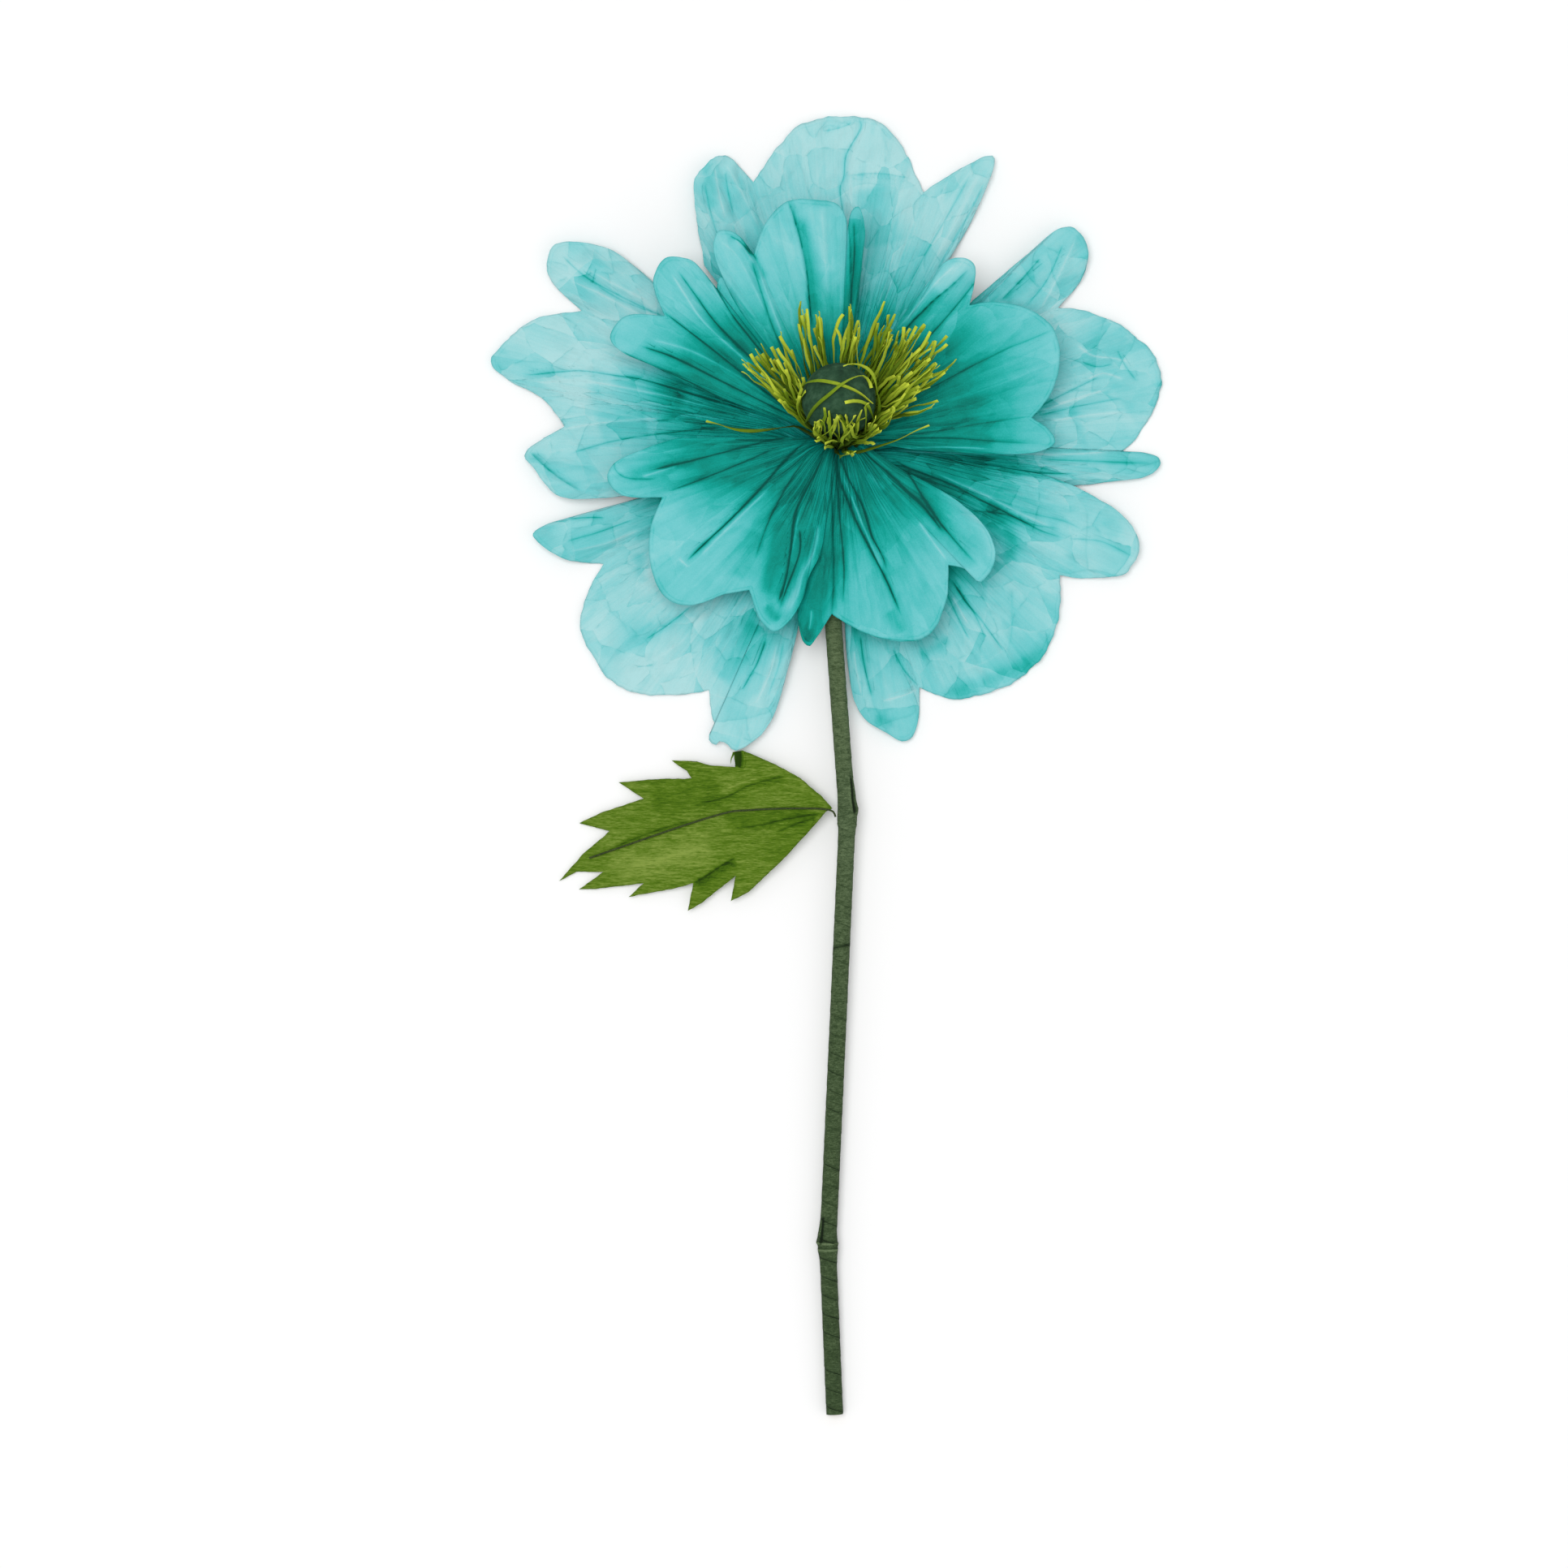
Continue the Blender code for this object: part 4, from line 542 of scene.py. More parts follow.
def creaseField(px, py, creases):
    """Lift in metres, and the painted shade and painted highlight that a petal's own creases give at each place: darker
    along valleys and on the low side of folds, lighter along ridges, darker or lighter along bands.
    """
    lift = np.zeros(px.shape)
    dark = np.zeros(px.shape)
    for kind, width, height, tone, way in creases:
        gap, side, along = wayDistance(px, py, evenCurve(way, 6 * len(way)) if len(way) > 3 else way)
        fade = smooth(along / 0.12) * smooth((1 - along) / 0.12)
        if kind == "fold":
            raised = (side > 0) * (1 - np.exp(-gap / (0.4 * width))) * np.exp(-gap / (7 * width))
            lift += 0.001 * height * fade * raised
            dark += tone * fade * np.where(side > 0, 0.0, np.exp(-gap / (2.4 * width)))
        elif kind == "band":
            dark += tone * fade * np.exp(-(gap / width) ** 2)
        else:
            sign = -1 if kind == "valley" else 1
            lift += sign * 0.001 * height * fade * np.exp(-gap / (1.8 * width))
            dark += lineLook["soft"] * tone * fade * np.exp(-gap / (1.2 * width))
    return lift, dark


def lineLayers(px, py, creases):
    """The creases' sharp lines for the material. A layer is how far a place is from a line, in line
    widths with the line's side as its sign, and how dark the line is there: painted shade along
    valleys and folds, painted highlight along ridges."""
    layers = [[np.full(px.shape, 9.0), np.zeros(px.shape)] for _ in range(lineLook["layers"])]
    for kind, width, height, tone, way in creases:
        if kind == "band":
            continue
        gap, side, along = wayDistance(px, py, evenCurve(way, 6 * len(way)))
        near = smooth(2 * (1 - gap / lineLook["reach"])) * smooth(along / 0.10) * smooth((1 - along) / 0.18)
        shared = [np.count_nonzero((ink != 0) & (near > 0)) for _, ink in layers]
        layer = layers[int(np.argmin(shared))]
        own = (near > 0) & ((layer[1] == 0) | (gap < np.abs(layer[0])))
        thick = lineLook["width"] + lineLook["widen"] * width
        layer[0] = np.where(own, gap * side / thick, layer[0])
        layer[1] = np.where(own, lineLook["ink"] * tone * near, layer[1])
    return layers


def strewnCreases(look):
    """Straight folds from crumpling, the same for a whole ring so that neighbours lie on each other."""
    if "strewn" in look:
        return look["strewn"]
    draw = random.Random(int(look["seed"]))
    creases = []
    for number in range(crumpleLook["lines"]):
        bearing = draw.uniform(0, 2 * math.pi)
        reach = look["reach"] * math.sqrt(draw.uniform(0.16, 1.0))
        turned = bearing + draw.gauss(0, 0.7)
        half = draw.uniform(*crumpleLook["lineLength"]) / 2
        start = head + Vector((reach * math.cos(bearing) - half * math.cos(turned),
                               reach * math.sin(bearing) - half * math.sin(turned), -0.02))
        end = start + Vector((2 * half * math.cos(turned), 2 * half * math.sin(turned), 0))
        middle = start.lerp(end, 0.5) + Vector((draw.gauss(0, 1), draw.gauss(0, 1), 0)) * half * 0.06
        way = [tuple(float(v) for v in inPicture(np.array(place))) for place in (start, middle, end)]
        kind = "valley" if number % 2 else "ridge"
        lift = draw.uniform(*crumpleLook["lineLift"]) * look["strewnLift"]
        # Valleys are darkened as painted shade and ridges lightened as painted highlight.
        tone = (0.06 if kind == "valley" else -0.04) * look["strewnTone"]
        creases.append((kind, draw.uniform(*crumpleLook["lineWidth"]), lift, tone, way))
    look["strewn"] = creases
    return creases


def insideShare(x, y, outline):
    """1 inside a closed outline and 0 outside it."""
    inside = np.zeros(x.shape, bool)
    for (x0, y0), (x1, y1) in zip(outline, np.roll(outline, -1, axis=0)):
        spans = (y0 > y) != (y1 > y)
        at = (x1 - x0) * (y - y0) / (y1 - y0 if y1 != y0 else 1e-12) + x0
        inside ^= spans & (x < at)
    return inside.astype(float)


def outlineOf(petal, look):
    """The petal's edge as places from the neck, with the lobe and the place in it of each."""
    places, across, lobeOf = [], [], []
    for number, lobe in enumerate(petal["lobes"]):
        steps = look["columns"][number]
        samples = evenCurve(lobe, steps) * look["reach"] / 100
        first = 1 if number else 0
        places.append(samples[first:])
        across.append((np.arange(steps + 1) / steps)[first:])
        lobeOf += [number] * (steps + 1 - first)
    return np.vstack(places), np.concatenate(across), np.array(lobeOf)


def petalSurface(petal, look, ringHeight, creased=True):
    """Places of the paper's middle on a grid of columns across and rows out, and its values."""
    edge, across, lobeOf = outlineOf(petal, look)
    last = len(edge) - 1
    u = np.arange(last + 1) / last
    start = math.radians(petal["foot"][0] - 2)
    end = math.radians(petal["foot"][1] + 2)
    bearing = start + (end - start) * u
    gather = look["gather"] * np.sin(math.pi * 22 * u)
    foot = np.stack([np.cos(bearing), np.sin(bearing)], axis=1) * (look["foot"] + gather)[:, None]
    wave = np.array([noise.noise(Vector((*(p * 90), look["seed"]))) +
                     0.6 * noise.noise(Vector((*(p * 240), look["seed"]))) for p in edge])
    edge = edge * (1 + look["edgeWave"] * wave / np.linalg.norm(edge, axis=1))[:, None]
    share = (np.arange(look["rows"] + 1) / look["rows"]) ** 1.2
    spot = foot[:, None, :] * (1 - share[None, :, None]) + edge[:, None, :] * share[None, :, None]
    x, y = spot[..., 0], spot[..., 1]
    reach = np.hypot(x, y)
    outward = np.maximum(0.0, reach - look["foot"])
    height = ringHeight(np.arctan2(y, x), reach)
    height += smooth(outward / look["shingleStart"]) * look["shingle"] * (1 - 2 * u)[:, None]
    arch = np.sin(math.pi * across)[:, None]
    rib = np.exp(-((across - 0.5) / look["ribSpread"]) ** 2)[:, None]
    curl = np.array(petal["curl"])[lobeOf][:, None] * 0.001
    height += (look["dome"] * arch - look["rib"] * rib) * share + curl * arch ** 2 * share ** 4
    base = neckPlace(x, y, height)
    open_ = smooth((reach - 0.02) / 0.06)
    pleat = pleats(x, y, look["seed"])
    coarse = cellRelief(x, y, crumpleLook["cell"], look["seed"])
    fine = cellRelief(x, y, crumpleLook["fineCell"], look["seed"] + 5)
    px, py = inPicture(base)
    # The creases' darkening and lightening is painted shade and painted highlight.
    lift, dark = creaseField(px, py, petal["creases"])
    strewn, strewnShading = creaseField(px, py, strewnCreases(look))
    settle = 0.10 if look["foot"] == neck["outerFoot"] else 0.25
    relief = look["pleat"] * pleat + lift + strewn * open_
    relief += open_ * (look["crumple"][0] * (coarse - settle) + look["crumple"][1] * (0.3 - fine))
    height = height + relief
    places = neckPlace(x, y, height)
    low = groundGap + holder[2]
    soft = 0.0008
    over = (places[..., 2] - low) / soft
    places[..., 2] = low + soft * np.where(over > 20, over, np.log1p(np.exp(np.minimum(over, 20))))
    rim = (1 - share)[None, :] * np.linalg.norm(edge - foot, axis=1)[:, None] * 1000
    values = {"dark": dark + strewnShading * open_, "lines": lineLayers(px, py, petal["creases"]), "rim": rim,
              "lobe": lobeOf, "pleat": pleat, "reach": reach, "u": u, "across": across, "x": x, "y": y}
    return places, values


def gridNormals(places):
    du = np.gradient(places, axis=0)
    dv = np.gradient(places, axis=1)
    normal = np.cross(dv, du)
    return normal / np.maximum(np.linalg.norm(normal, axis=-1, keepdims=True), 1e-12)


def sheetMesh(places, thickness):
    """Corners and faces of a closed thin sheet round a grid of places, upper side first."""
    columns, rows = places.shape[:2]
    normal = gridNormals(places)
    if np.mean(normal[..., 2]) < 0:
        normal = -normal
    corners = np.concatenate([(places + normal * thickness / 2).reshape(-1, 3),
                              (places - normal * thickness / 2).reshape(-1, 3)])
    under = columns * rows
    faces = []
    for i in range(columns - 1):
        for j in range(rows - 1):
            a, b, c, d = i * rows + j, (i + 1) * rows + j, (i + 1) * rows + j + 1, i * rows + j + 1
            faces.append((a, d, c, b))
            faces.append((under + a, under + b, under + c, under + d))
    rim = ([i * rows for i in range(columns)]
           + [(columns - 1) * rows + j for j in range(1, rows)]
           + [i * rows + rows - 1 for i in range(columns - 2, -1, -1)]
           + [j for j in range(rows - 2, 0, -1)])
    for a, b in zip(rim, rim[1:] + rim[:1]):
        faces.append((a, b, under + b, under + a))
    return corners, faces


def ringOutlines(ring, look):
    outlines = {}
    for name, petal in ring.items():
        edge = outlineOf(petal, look)[0]
        outlines[name] = np.vstack([edge, [[0.0, 0.0]]])
    return outlines


def spreadOverLobes(numbers, lobe, across):
    """A number for each lobe, eased from one lobe to the next across their notch."""
    place = lobe + across
    return np.interp(place, [0.0, 0.85, 1.15, 1.85, 2.15, 3.0], [numbers[0], numbers[0], numbers[1], numbers[1],
                                                                numbers[2], numbers[2]])


def petalTones(name, petal, values, look, outlines, kind):
    """How dark each place is, 0 pale to 1 deep: the dye, painted shade in the pleats' valleys, a painted deeper colour
    where petals overlap, and the creases' painted shade and highlight.
    """
    reach = values["reach"] / look["reach"]
    # Painted shade in the pleats' valleys. Where another petal overlaps in plan the tone deepens, painted for the
    # deeper colour of light through two sheets and the shade under the upper one.
    valley = np.clip(-values["pleat"] - 0.1, 0, 1)
    overlapShade = np.zeros(reach.shape)
    for other, outline in outlines.items():
        if other != name:
            overlapShade += insideShare(values["x"], values["y"], outline)
    patch = np.array([noise.noise(Vector((a * 14, b * 14, look["seed"])))
                      for a, b in zip(values["x"].ravel(), values["y"].ravel())]).reshape(reach.shape)
    lobe = values["lobe"]
    blend = lambda numbers: spreadOverLobes(numbers, lobe, values["across"])[:, None]
    if kind == "inner":
        near, far = blend([n for n, _ in petal["dye"]]), blend([f for _, f in petal["dye"]])
        tone = 0.36 + 0.54 * (1 - smooth((reach - near) / (far - near)))
        tone += 0.20 * valley + 0.07 * patch + 0.06 * overlapShade
    else:
        tone = blend(petal["dye"]) + 0.62 * (1 - smooth((reach - 0.34) / 0.47))
        tone += 0.15 * valley + 0.15 * patch + 0.10 * overlapShade
    return np.clip(tone + values["dark"], 0, 0.84)


def thinLine(tree, value, middle, sharpness):
    """1 where a value is at its middle, falling off steeply to both sides."""
    off = mathNode(tree, "ABSOLUTE", mathNode(tree, "SUBTRACT", value, middle))
    return mathNode(tree, "EXPONENT", mathNode(tree, "MULTIPLY", off, -sharpness))


def attribute(tree, name):
    return addNode(tree, "ShaderNodeAttribute", attribute_name=name).outputs["Fac"]


def total(tree, parts):
    """The sum of sockets, each times its own factor."""
    whole = None
    for socket, factor in parts:
        part = mathNode(tree, "MULTIPLY", socket, factor)
        whole = mathNode(tree, "ADD", whole, part) if whole else part
    return whole


def easing(tree, value, low, high, start, end):
    node = addNode(tree, "ShaderNodeMapRange", interpolation_type="SMOOTHSTEP")
    for socket, number in (("From Min", low), ("From Max", high), ("To Min", start), ("To Max", end)):
        node.inputs[socket].default_value = number
    tree.links.new(value, node.inputs["Value"])
    return node.outputs["Result"]


def crumpleLines(tree, uv, stretch, scale, width):
    """A net of straight folds, each drawn as a painted shade line or a painted highlight line, and the facets between
    them, each shaded across as if tilted to the light: painted shading.
    """
    mapping = addNode(tree, "ShaderNodeMapping")
    mapping.inputs["Scale"].default_value = stretch
    tree.links.new(uv, mapping.inputs["Vector"])
    bend = noiseNode(tree, mapping.outputs["Vector"], 1.3, 2.0, 0.5)
    push = addNode(tree, "ShaderNodeVectorMath", operation="MULTIPLY_ADD")
    push.inputs[1].default_value = (0.32, 0.32, 0.0)
    tree.links.new(bend.outputs["Color"], push.inputs[0])
    tree.links.new(mapping.outputs["Vector"], push.inputs[2])
    net = addNode(tree, "ShaderNodeTexVoronoi", voronoi_dimensions="2D", feature="DISTANCE_TO_EDGE")
    cells = addNode(tree, "ShaderNodeTexVoronoi", voronoi_dimensions="2D", feature="F1")
    for node in (net, cells):
        node.inputs["Scale"].default_value = scale
        tree.links.new(push.outputs["Vector"], node.inputs["Vector"])
    line = thinLine(tree, net.outputs["Distance"], 0.0, 1 / width)
    side = noiseNode(tree, mapping.outputs["Vector"], 2.6, 1.0, 0.5).outputs["Fac"]
    signed = mathNode(tree, "MULTIPLY", line, easing(tree, side, 0.40, 0.60, -0.5, 1.0))
    away = addNode(tree, "ShaderNodeVectorMath", operation="SUBTRACT")
    tree.links.new(push.outputs["Vector"], away.inputs[0])
    tree.links.new(cells.outputs["Position"], away.inputs[1])
    slope = addNode(tree, "ShaderNodeVectorMath", operation="SUBTRACT")
    tree.links.new(cells.outputs["Color"], slope.inputs[0])
    slope.inputs[1].default_value = (0.5, 0.5, 0.5)
    facetShading = addNode(tree, "ShaderNodeVectorMath", operation="DOT_PRODUCT")
    tree.links.new(away.outputs["Vector"], facetShading.inputs[0])
    tree.links.new(slope.outputs["Vector"], facetShading.inputs[1])
    return signed, facetShading.outputs["Value"]


def petalMaterial(name, stops, look):
    """Dyed tissue: a tone that is stored at the corners, with streaks and washes of dye drawn into it, and creases,
    folds and crumples drawn in as painted shade and painted highlight.
    """
    material, tree, shader = newMaterial(name, 0.7)
    shader.inputs["Specular IOR Level"].default_value = 0.10
    coordinates = addNode(tree, "ShaderNodeTexCoord")
    uv = coordinates.outputs["UV"]
    out = addNode(tree, "ShaderNodeSeparateXYZ")
    tree.links.new(uv, out.inputs["Vector"])
    streaks = noiseNode(tree, uv, 1.0, 5.0, 0.68, (30.0, 1.8, 1.0)).outputs["Fac"]
    blotches = noiseNode(tree, coordinates.outputs["Object"], 70.0, 4.0, 0.6).outputs["Fac"]
    # The creases' lines: painted shade along valleys and folds, painted highlight along ridges.
    lines = total(tree, [(mathNode(tree, "MULTIPLY", thinLine(tree, attribute(tree, "way%d" % k), 0.0, 1.0),
                                   attribute(tree, "ink%d" % k)), 1.0) for k in range(lineLook["layers"])])
    # Fine gathers near the neck: a painted shade line with a painted highlight line beside it.
    gathers = noiseNode(tree, uv, 1.0, 1.0, 0.5, (46.0, 1.3, 1.0)).outputs["Fac"]
    nearNeck = easing(tree, out.outputs["Y"], look["gatherEnd"][0], look["gatherEnd"][1], 1.0, look["gatherRest"])
    gather = mathNode(tree, "SUBTRACT", thinLine(tree, gathers, 0.5, 34.0),
                      mathNode(tree, "MULTIPLY", thinLine(tree, gathers, 0.57, 50.0), 0.7))
    gather = mathNode(tree, "MULTIPLY", gather, nearNeck)
    rim = attribute(tree, "rim")
    # A darker line along the cut edge: painted edge shade.
    cutEdgeShade = thinLine(tree, rim, 0.0, 1.8)
    hem = mathNode(tree, "MULTIPLY", thinLine(tree, rim, 2.7, 2.2), easing(tree, blotches, 0.38, 0.55, 0.0, 1.0))
    grain = noiseNode(tree, coordinates.outputs["Object"], 1300.0, 2.0, 0.7).outputs["Fac"]
    washes = noiseNode(tree, uv, 1.0, 3.0, 0.55, (9.0, 2.4, 1.0)).outputs["Fac"]
    washes = mathNode(tree, "SUBTRACT", easing(tree, washes, 0.50, 0.54, 0.0, 1.0), easing(tree, washes, 0.54, 0.70, 0.0, 1.0))
    # Crumple folds as painted shade and painted highlight lines, and facets with painted shading across them.
    large, largeFacetShading = crumpleLines(tree, uv, (5.0, 3.4, 1.0), 1.0, 0.016)
    small, smallFacetShading = crumpleLines(tree, uv, (13.0, 9.0, 1.0), 1.0, 0.026)
    level = total(tree, [(attribute(tree, "tone"), 1.0), (mathNode(tree, "SUBTRACT", streaks, 0.5), look["streak"]),
                         (mathNode(tree, "SUBTRACT", blotches, 0.5), look["streak"] * 0.7), (lines, 1.0),
                         (gather, look["gather"]), (cutEdgeShade, look["rim"]), (hem, look["rim"] * 0.8),
                         (large, look["crumple"] * 0.5), (small, look["crumple"] * 0.8),
                         (largeFacetShading, look["facetShading"]), (smallFacetShading, look["facetShading"]), (washes, look["wash"]),
                         (mathNode(tree, "SUBTRACT", grain, 0.5), look["grain"])])
    ramp = rampNode(tree, stops)
    tree.links.new(level, ramp.inputs["Fac"])
    tree.links.new(ramp.outputs["Color"], shader.inputs["Base Color"])
    wrinkles = noiseNode(tree, uv, 1.0, 4.0, 0.65, (90.0, 9.0, 1.0)).outputs["Fac"]
    fibres = noiseNode(tree, coordinates.outputs["Object"], 900.0, 2.0, 0.6).outputs["Fac"]
    folds = total(tree, [(lines, -2.0), (gather, -0.6), (large, -look["crumple"] * 5), (small, -look["crumple"] * 4),
                         (hem, -0.2)])
    bumpChain(tree, shader, [(folds, 0.8, look["foldDepth"]), (wrinkles, 0.5, look["bump"]),
                             (fibres, 0.3, look["bump"] * 0.3)])
    return material


def buildRing(ring, look, ringHeight, material, kind):
    outlines = ringOutlines(ring, look)
    pieces = []
    for number, (name, petal) in enumerate(ring.items()):
        places, values = petalSurface(petal, look, ringHeight)
        tone = petalTones(name, petal, values, look, outlines, kind)
        columns, rows = places.shape[:2]
        lowest = neckPlace(values["x"][:, 0], values["y"][:, 0], np.full(columns, -neck["depth"]))
        places = np.concatenate([lowest[:, None, :], places], axis=1)
        own = {"tone": tone, "rim": values["rim"]}
        for k, (way, ink) in enumerate(values["lines"]):
            own["way%d" % k] = way
            own["ink%d" % k] = ink
        own = {key: np.tile(np.concatenate([grid[:, :1], grid], axis=1).ravel(), 2) for key, grid in own.items()}
        uv = np.stack([np.broadcast_to(values["u"][:, None] + number * 1.37, (columns, rows)), values["reach"] * 5], axis=-1)
        uv = np.concatenate([uv[:, :1] - [0, 0.06], uv], axis=1).reshape(-1, 2)
        corners, faces = sheetMesh(places, look["thickness"])
        piece = meshPiece("paper_" + name, corners, faces, material, [name],
                          own, np.tile(uv, (2, 1)))
        pieces.append(piece)
    print("petals:", kind, len(pieces))
    return pieces


dyeStops = [(0.0, paint(170, 216, 218)), (0.2, paint(140, 207, 210)), (0.35, paint(112, 199, 202)),
            (0.5, paint(80, 188, 188)), (0.62, paint(44, 176, 170)), (0.74, paint(6, 158, 146)),
            (0.87, paint(0, 132, 118)), (1.0, paint(0, 88, 78))]
paperLook = {
    "inner": {"streak": 0.24, "grain": 0.16, "wash": 0.06, "bump": 0.0008, "foldDepth": 0.0005, "crumple": 0.03, "facetShading": 0.13, "rim": 0.15,
              "gather": 0.13, "gatherEnd": (0.12, 0.45), "gatherRest": 0.0},
    "outer": {"streak": 0.20, "grain": 0.16, "wash": 0.07, "bump": 0.0009, "foldDepth": 0.0006, "crumple": 0.13, "facetShading": 0.32, "rim": 0.08,
              "gather": 0.15, "gatherEnd": (0.25, 0.80), "gatherRest": 0.2},
}
innerPaper = petalMaterial("airbrushed_tissue", dyeStops, paperLook["inner"])
outerPaper = petalMaterial("crumpled_tissue", dyeStops, paperLook["outer"])
buildRing(innerPetals, petalLook["inner"], innerHeight, innerPaper, "inner")
buildRing(outerPetals, petalLook["outer"], outerHeight, outerPaper, "outer")


# Ball on the neck, covered with dark crepe paper that is gathered under it

ballLook = {"radius": 0.0225, "height": 0.0366, "neck": 0.0034, "wall": 0.0007, "bore": 0.0018,
            "neckTop": 0.0100, "sides": 120, "rows": 74, "pleats": 22, "pleatDepth": 0.0009,
            "pleatFade": 0.0075, "wrinkle": 0.00042, "cell": 0.0060, "crepe": 0.00006, "crepeLines": 46}


def ballCentre():
    return axisPlace(0, 0, ballLook["height"])


def ballProfile(radius, startRadius, rows):
    start = math.asin(startRadius / radius)
    angles = start + (math.pi - start) * np.arange(rows) / rows
    return [(radius * math.sin(a), ballLook["height"] - radius * math.cos(a)) for a in angles]


def turnedGrid(profile, sides, relief=None):
    """Rows of corners round the neck's axis, one for each radius and height of the profile."""
    rows = []
    for radius, height in profile:
        row = []
        for k in range(sides):
            angle = 2 * math.pi * k / sides
            size = radius + (relief(radius, height, angle) if relief else 0.0)
            row.append(axisPlace(size, angle, height))
        rows.append(row)
    return rows


def ballRelief(radius, height, angle):
    """Pleats where the paper runs in to the neck, and fine wrinkles over the rest."""
    below = ballLook["height"] - ballLook["radius"] * 0.55 - height
    fold = math.exp(-((below - 0.006) / ballLook["pleatFade"]) ** 2)
    sway = 0.25 * math.sin(3 * angle + 1.0) + 0.2 * math.sin(5 * angle)
    pleat = ballLook["pleatDepth"] * fold * (abs(math.sin(0.5 * ballLook["pleats"] * angle + sway)) - 0.7)
    spot = Vector((radius * math.cos(angle), radius * math.sin(angle), (height - ballLook["height"]) * 0.55))
    spot = spot / ballLook["cell"] + noise.noise_vector(spot * 160) * 0.5
    near, second = noise.voronoi(spot)[0][:2]
    onBall = min(1.0, max(0.0, (height - ballLook["neckTop"]) / 0.006))
    return pleat * onBall + ballLook["wrinkle"] * (second - near - 0.3) * onBall * min(1.0, radius / 0.004)


def buildBall(material):
    size = ballLook
    outside = [(size["neck"], -neck["depth"]), (size["neck"], 0.0), (size["neck"], size["neckTop"] * 0.8)]
    outside += ballProfile(size["radius"], size["neck"] * 1.15, size["rows"])
    inside = [(size["bore"], -neck["depth"])] + ballProfile(size["radius"] - size["wall"], size["bore"], 10)
    outer = turnedGrid(outside, size["sides"], ballRelief)
    inner = turnedGrid(inside, size["sides"])
    corners = [tuple(c) for row in outer + inner for c in row]
    corners += [tuple(axisPlace(0, 0, size["height"] + size["radius"])),
                tuple(axisPlace(0, 0, size["height"] + size["radius"] - size["wall"]))]
    sides = size["sides"]
    faces = []
    for start, rows, outward in ((0, len(outer), True), (len(outer) * sides, len(inner), False)):
        for j in range(rows - 1):
            for k in range(sides):
                a = start + j * sides + k
                b = start + j * sides + (k + 1) % sides
                quad = (a, b, b + sides, a + sides)
                faces.append(quad if outward else quad[::-1])
        pole = len(corners) - (2 if outward else 1)
        last = start + (rows - 1) * sides
        for k in range(sides):
            tip = (last + k, last + (k + 1) % sides, pole)
            faces.append(tip if outward else tip[::-1])
    foot = len(outer) * sides
    for k in range(sides):
        after = (k + 1) % sides
        faces.append((after, k, foot + k, foot + after))
    return meshPiece("ball_paper", corners, faces, material, ["ball_cover"])


# Stamens: strands of twisted paper. A tuft is the line of its tips in the picture, how many strands
# end along it and how high they rise over the neck, in millimetres.

strandLook = {"width": 0.0022, "flat": 0.26, "sides": 8, "step": 0.0030, "turns": 40.0, "kink": 0.0026,
              "stray": 0.05, "girths": (0.55, 1.35), "flare": 1.35, "scatter": 4.2, "shortest": 0.72,
              "sway": 0.32, "clear": 0.0012, "seed": 5,
              "bands": (0.0037, 0.0049, 0.0061), "bandWall": 0.0009}
tufts = [
    {"tips": [(918, 455), (921, 431), (933, 419), (944, 424), (951, 418), (957, 426)], "count": 26, "rise": (22, 34)},
    {"tips": [(938, 470), (955, 482), (964, 470), (972, 486)], "count": 9, "rise": (30, 40)},
    {"tips": [(950, 388)], "count": 1, "rise": (20, 22)},
    {"tips": [(956, 408), (962, 402)], "count": 2, "rise": (20, 26)},
    {"tips": [(978, 378), (987, 370), (996, 376), (1001, 372), (1007, 392)], "count": 15, "rise": (14, 26)},
    {"tips": [(1028, 376), (1036, 390)], "count": 2, "rise": (16, 22)},
    {"tips": [(1043, 380), (1050, 370), (1057, 383), (1056, 398)], "count": 15, "rise": (14, 24)},
    {"tips": [(1064, 367), (1068, 386)], "count": 2, "rise": (14, 18)},
    {"tips": [(1091, 376), (1101, 379), (1106, 384), (1119, 388)], "count": 20, "rise": (16, 30)},
    {"tips": [(1124, 402), (1133, 392), (1140, 398)], "count": 13, "rise": (18, 32)},
    {"tips": [(1148, 410), (1155, 405), (1164, 418), (1175, 415)], "count": 13, "rise": (20, 32)},
    {"tips": [(1152, 432), (1168, 436), (1179, 439), (1176, 453)], "count": 13, "rise": (24, 36)},
    {"tips": [(1126, 436), (1140, 452), (1152, 468), (1146, 482)], "count": 16, "rise": (30, 44)},
    {"tips": [(1162, 485), (1156, 502)], "count": 3, "rise": (26, 30)},
    {"tips": [(1122, 478), (1116, 496), (1108, 512), (1109, 525)], "count": 11, "rise": (38, 52), "sway": 0.7},
    {"tips": [(1062, 500), (1074, 512), (1088, 530), (1086, 545)], "count": 10, "rise": (50, 62), "sway": 1.1},
    {"tips": [(1026, 508), (1036, 512), (1044, 509), (1052, 519)], "count": 9, "rise": (58, 68), "sway": 1.1},
    {"tips": [(1048, 562), (1053, 556)], "count": 3, "rise": (56, 62)},
    {"tips": [(1011, 554), (1004, 545), (997, 536)], "count": 4, "rise": (48, 56), "sway": 1.1},
    {"tips": [(996, 528), (1002, 514), (1010, 518)], "count": 7, "rise": (52, 62), "sway": 1.1},
    {"tips": [(1016, 500), (1023, 486)], "count": 4, "rise": (60, 66), "sway": 1.1},
    {"tips": [(989, 474), (984, 477)], "count": 3, "rise": (40, 46)},
    {"tips": [(983, 450)], "count": 1, "rise": (36, 38)},
]

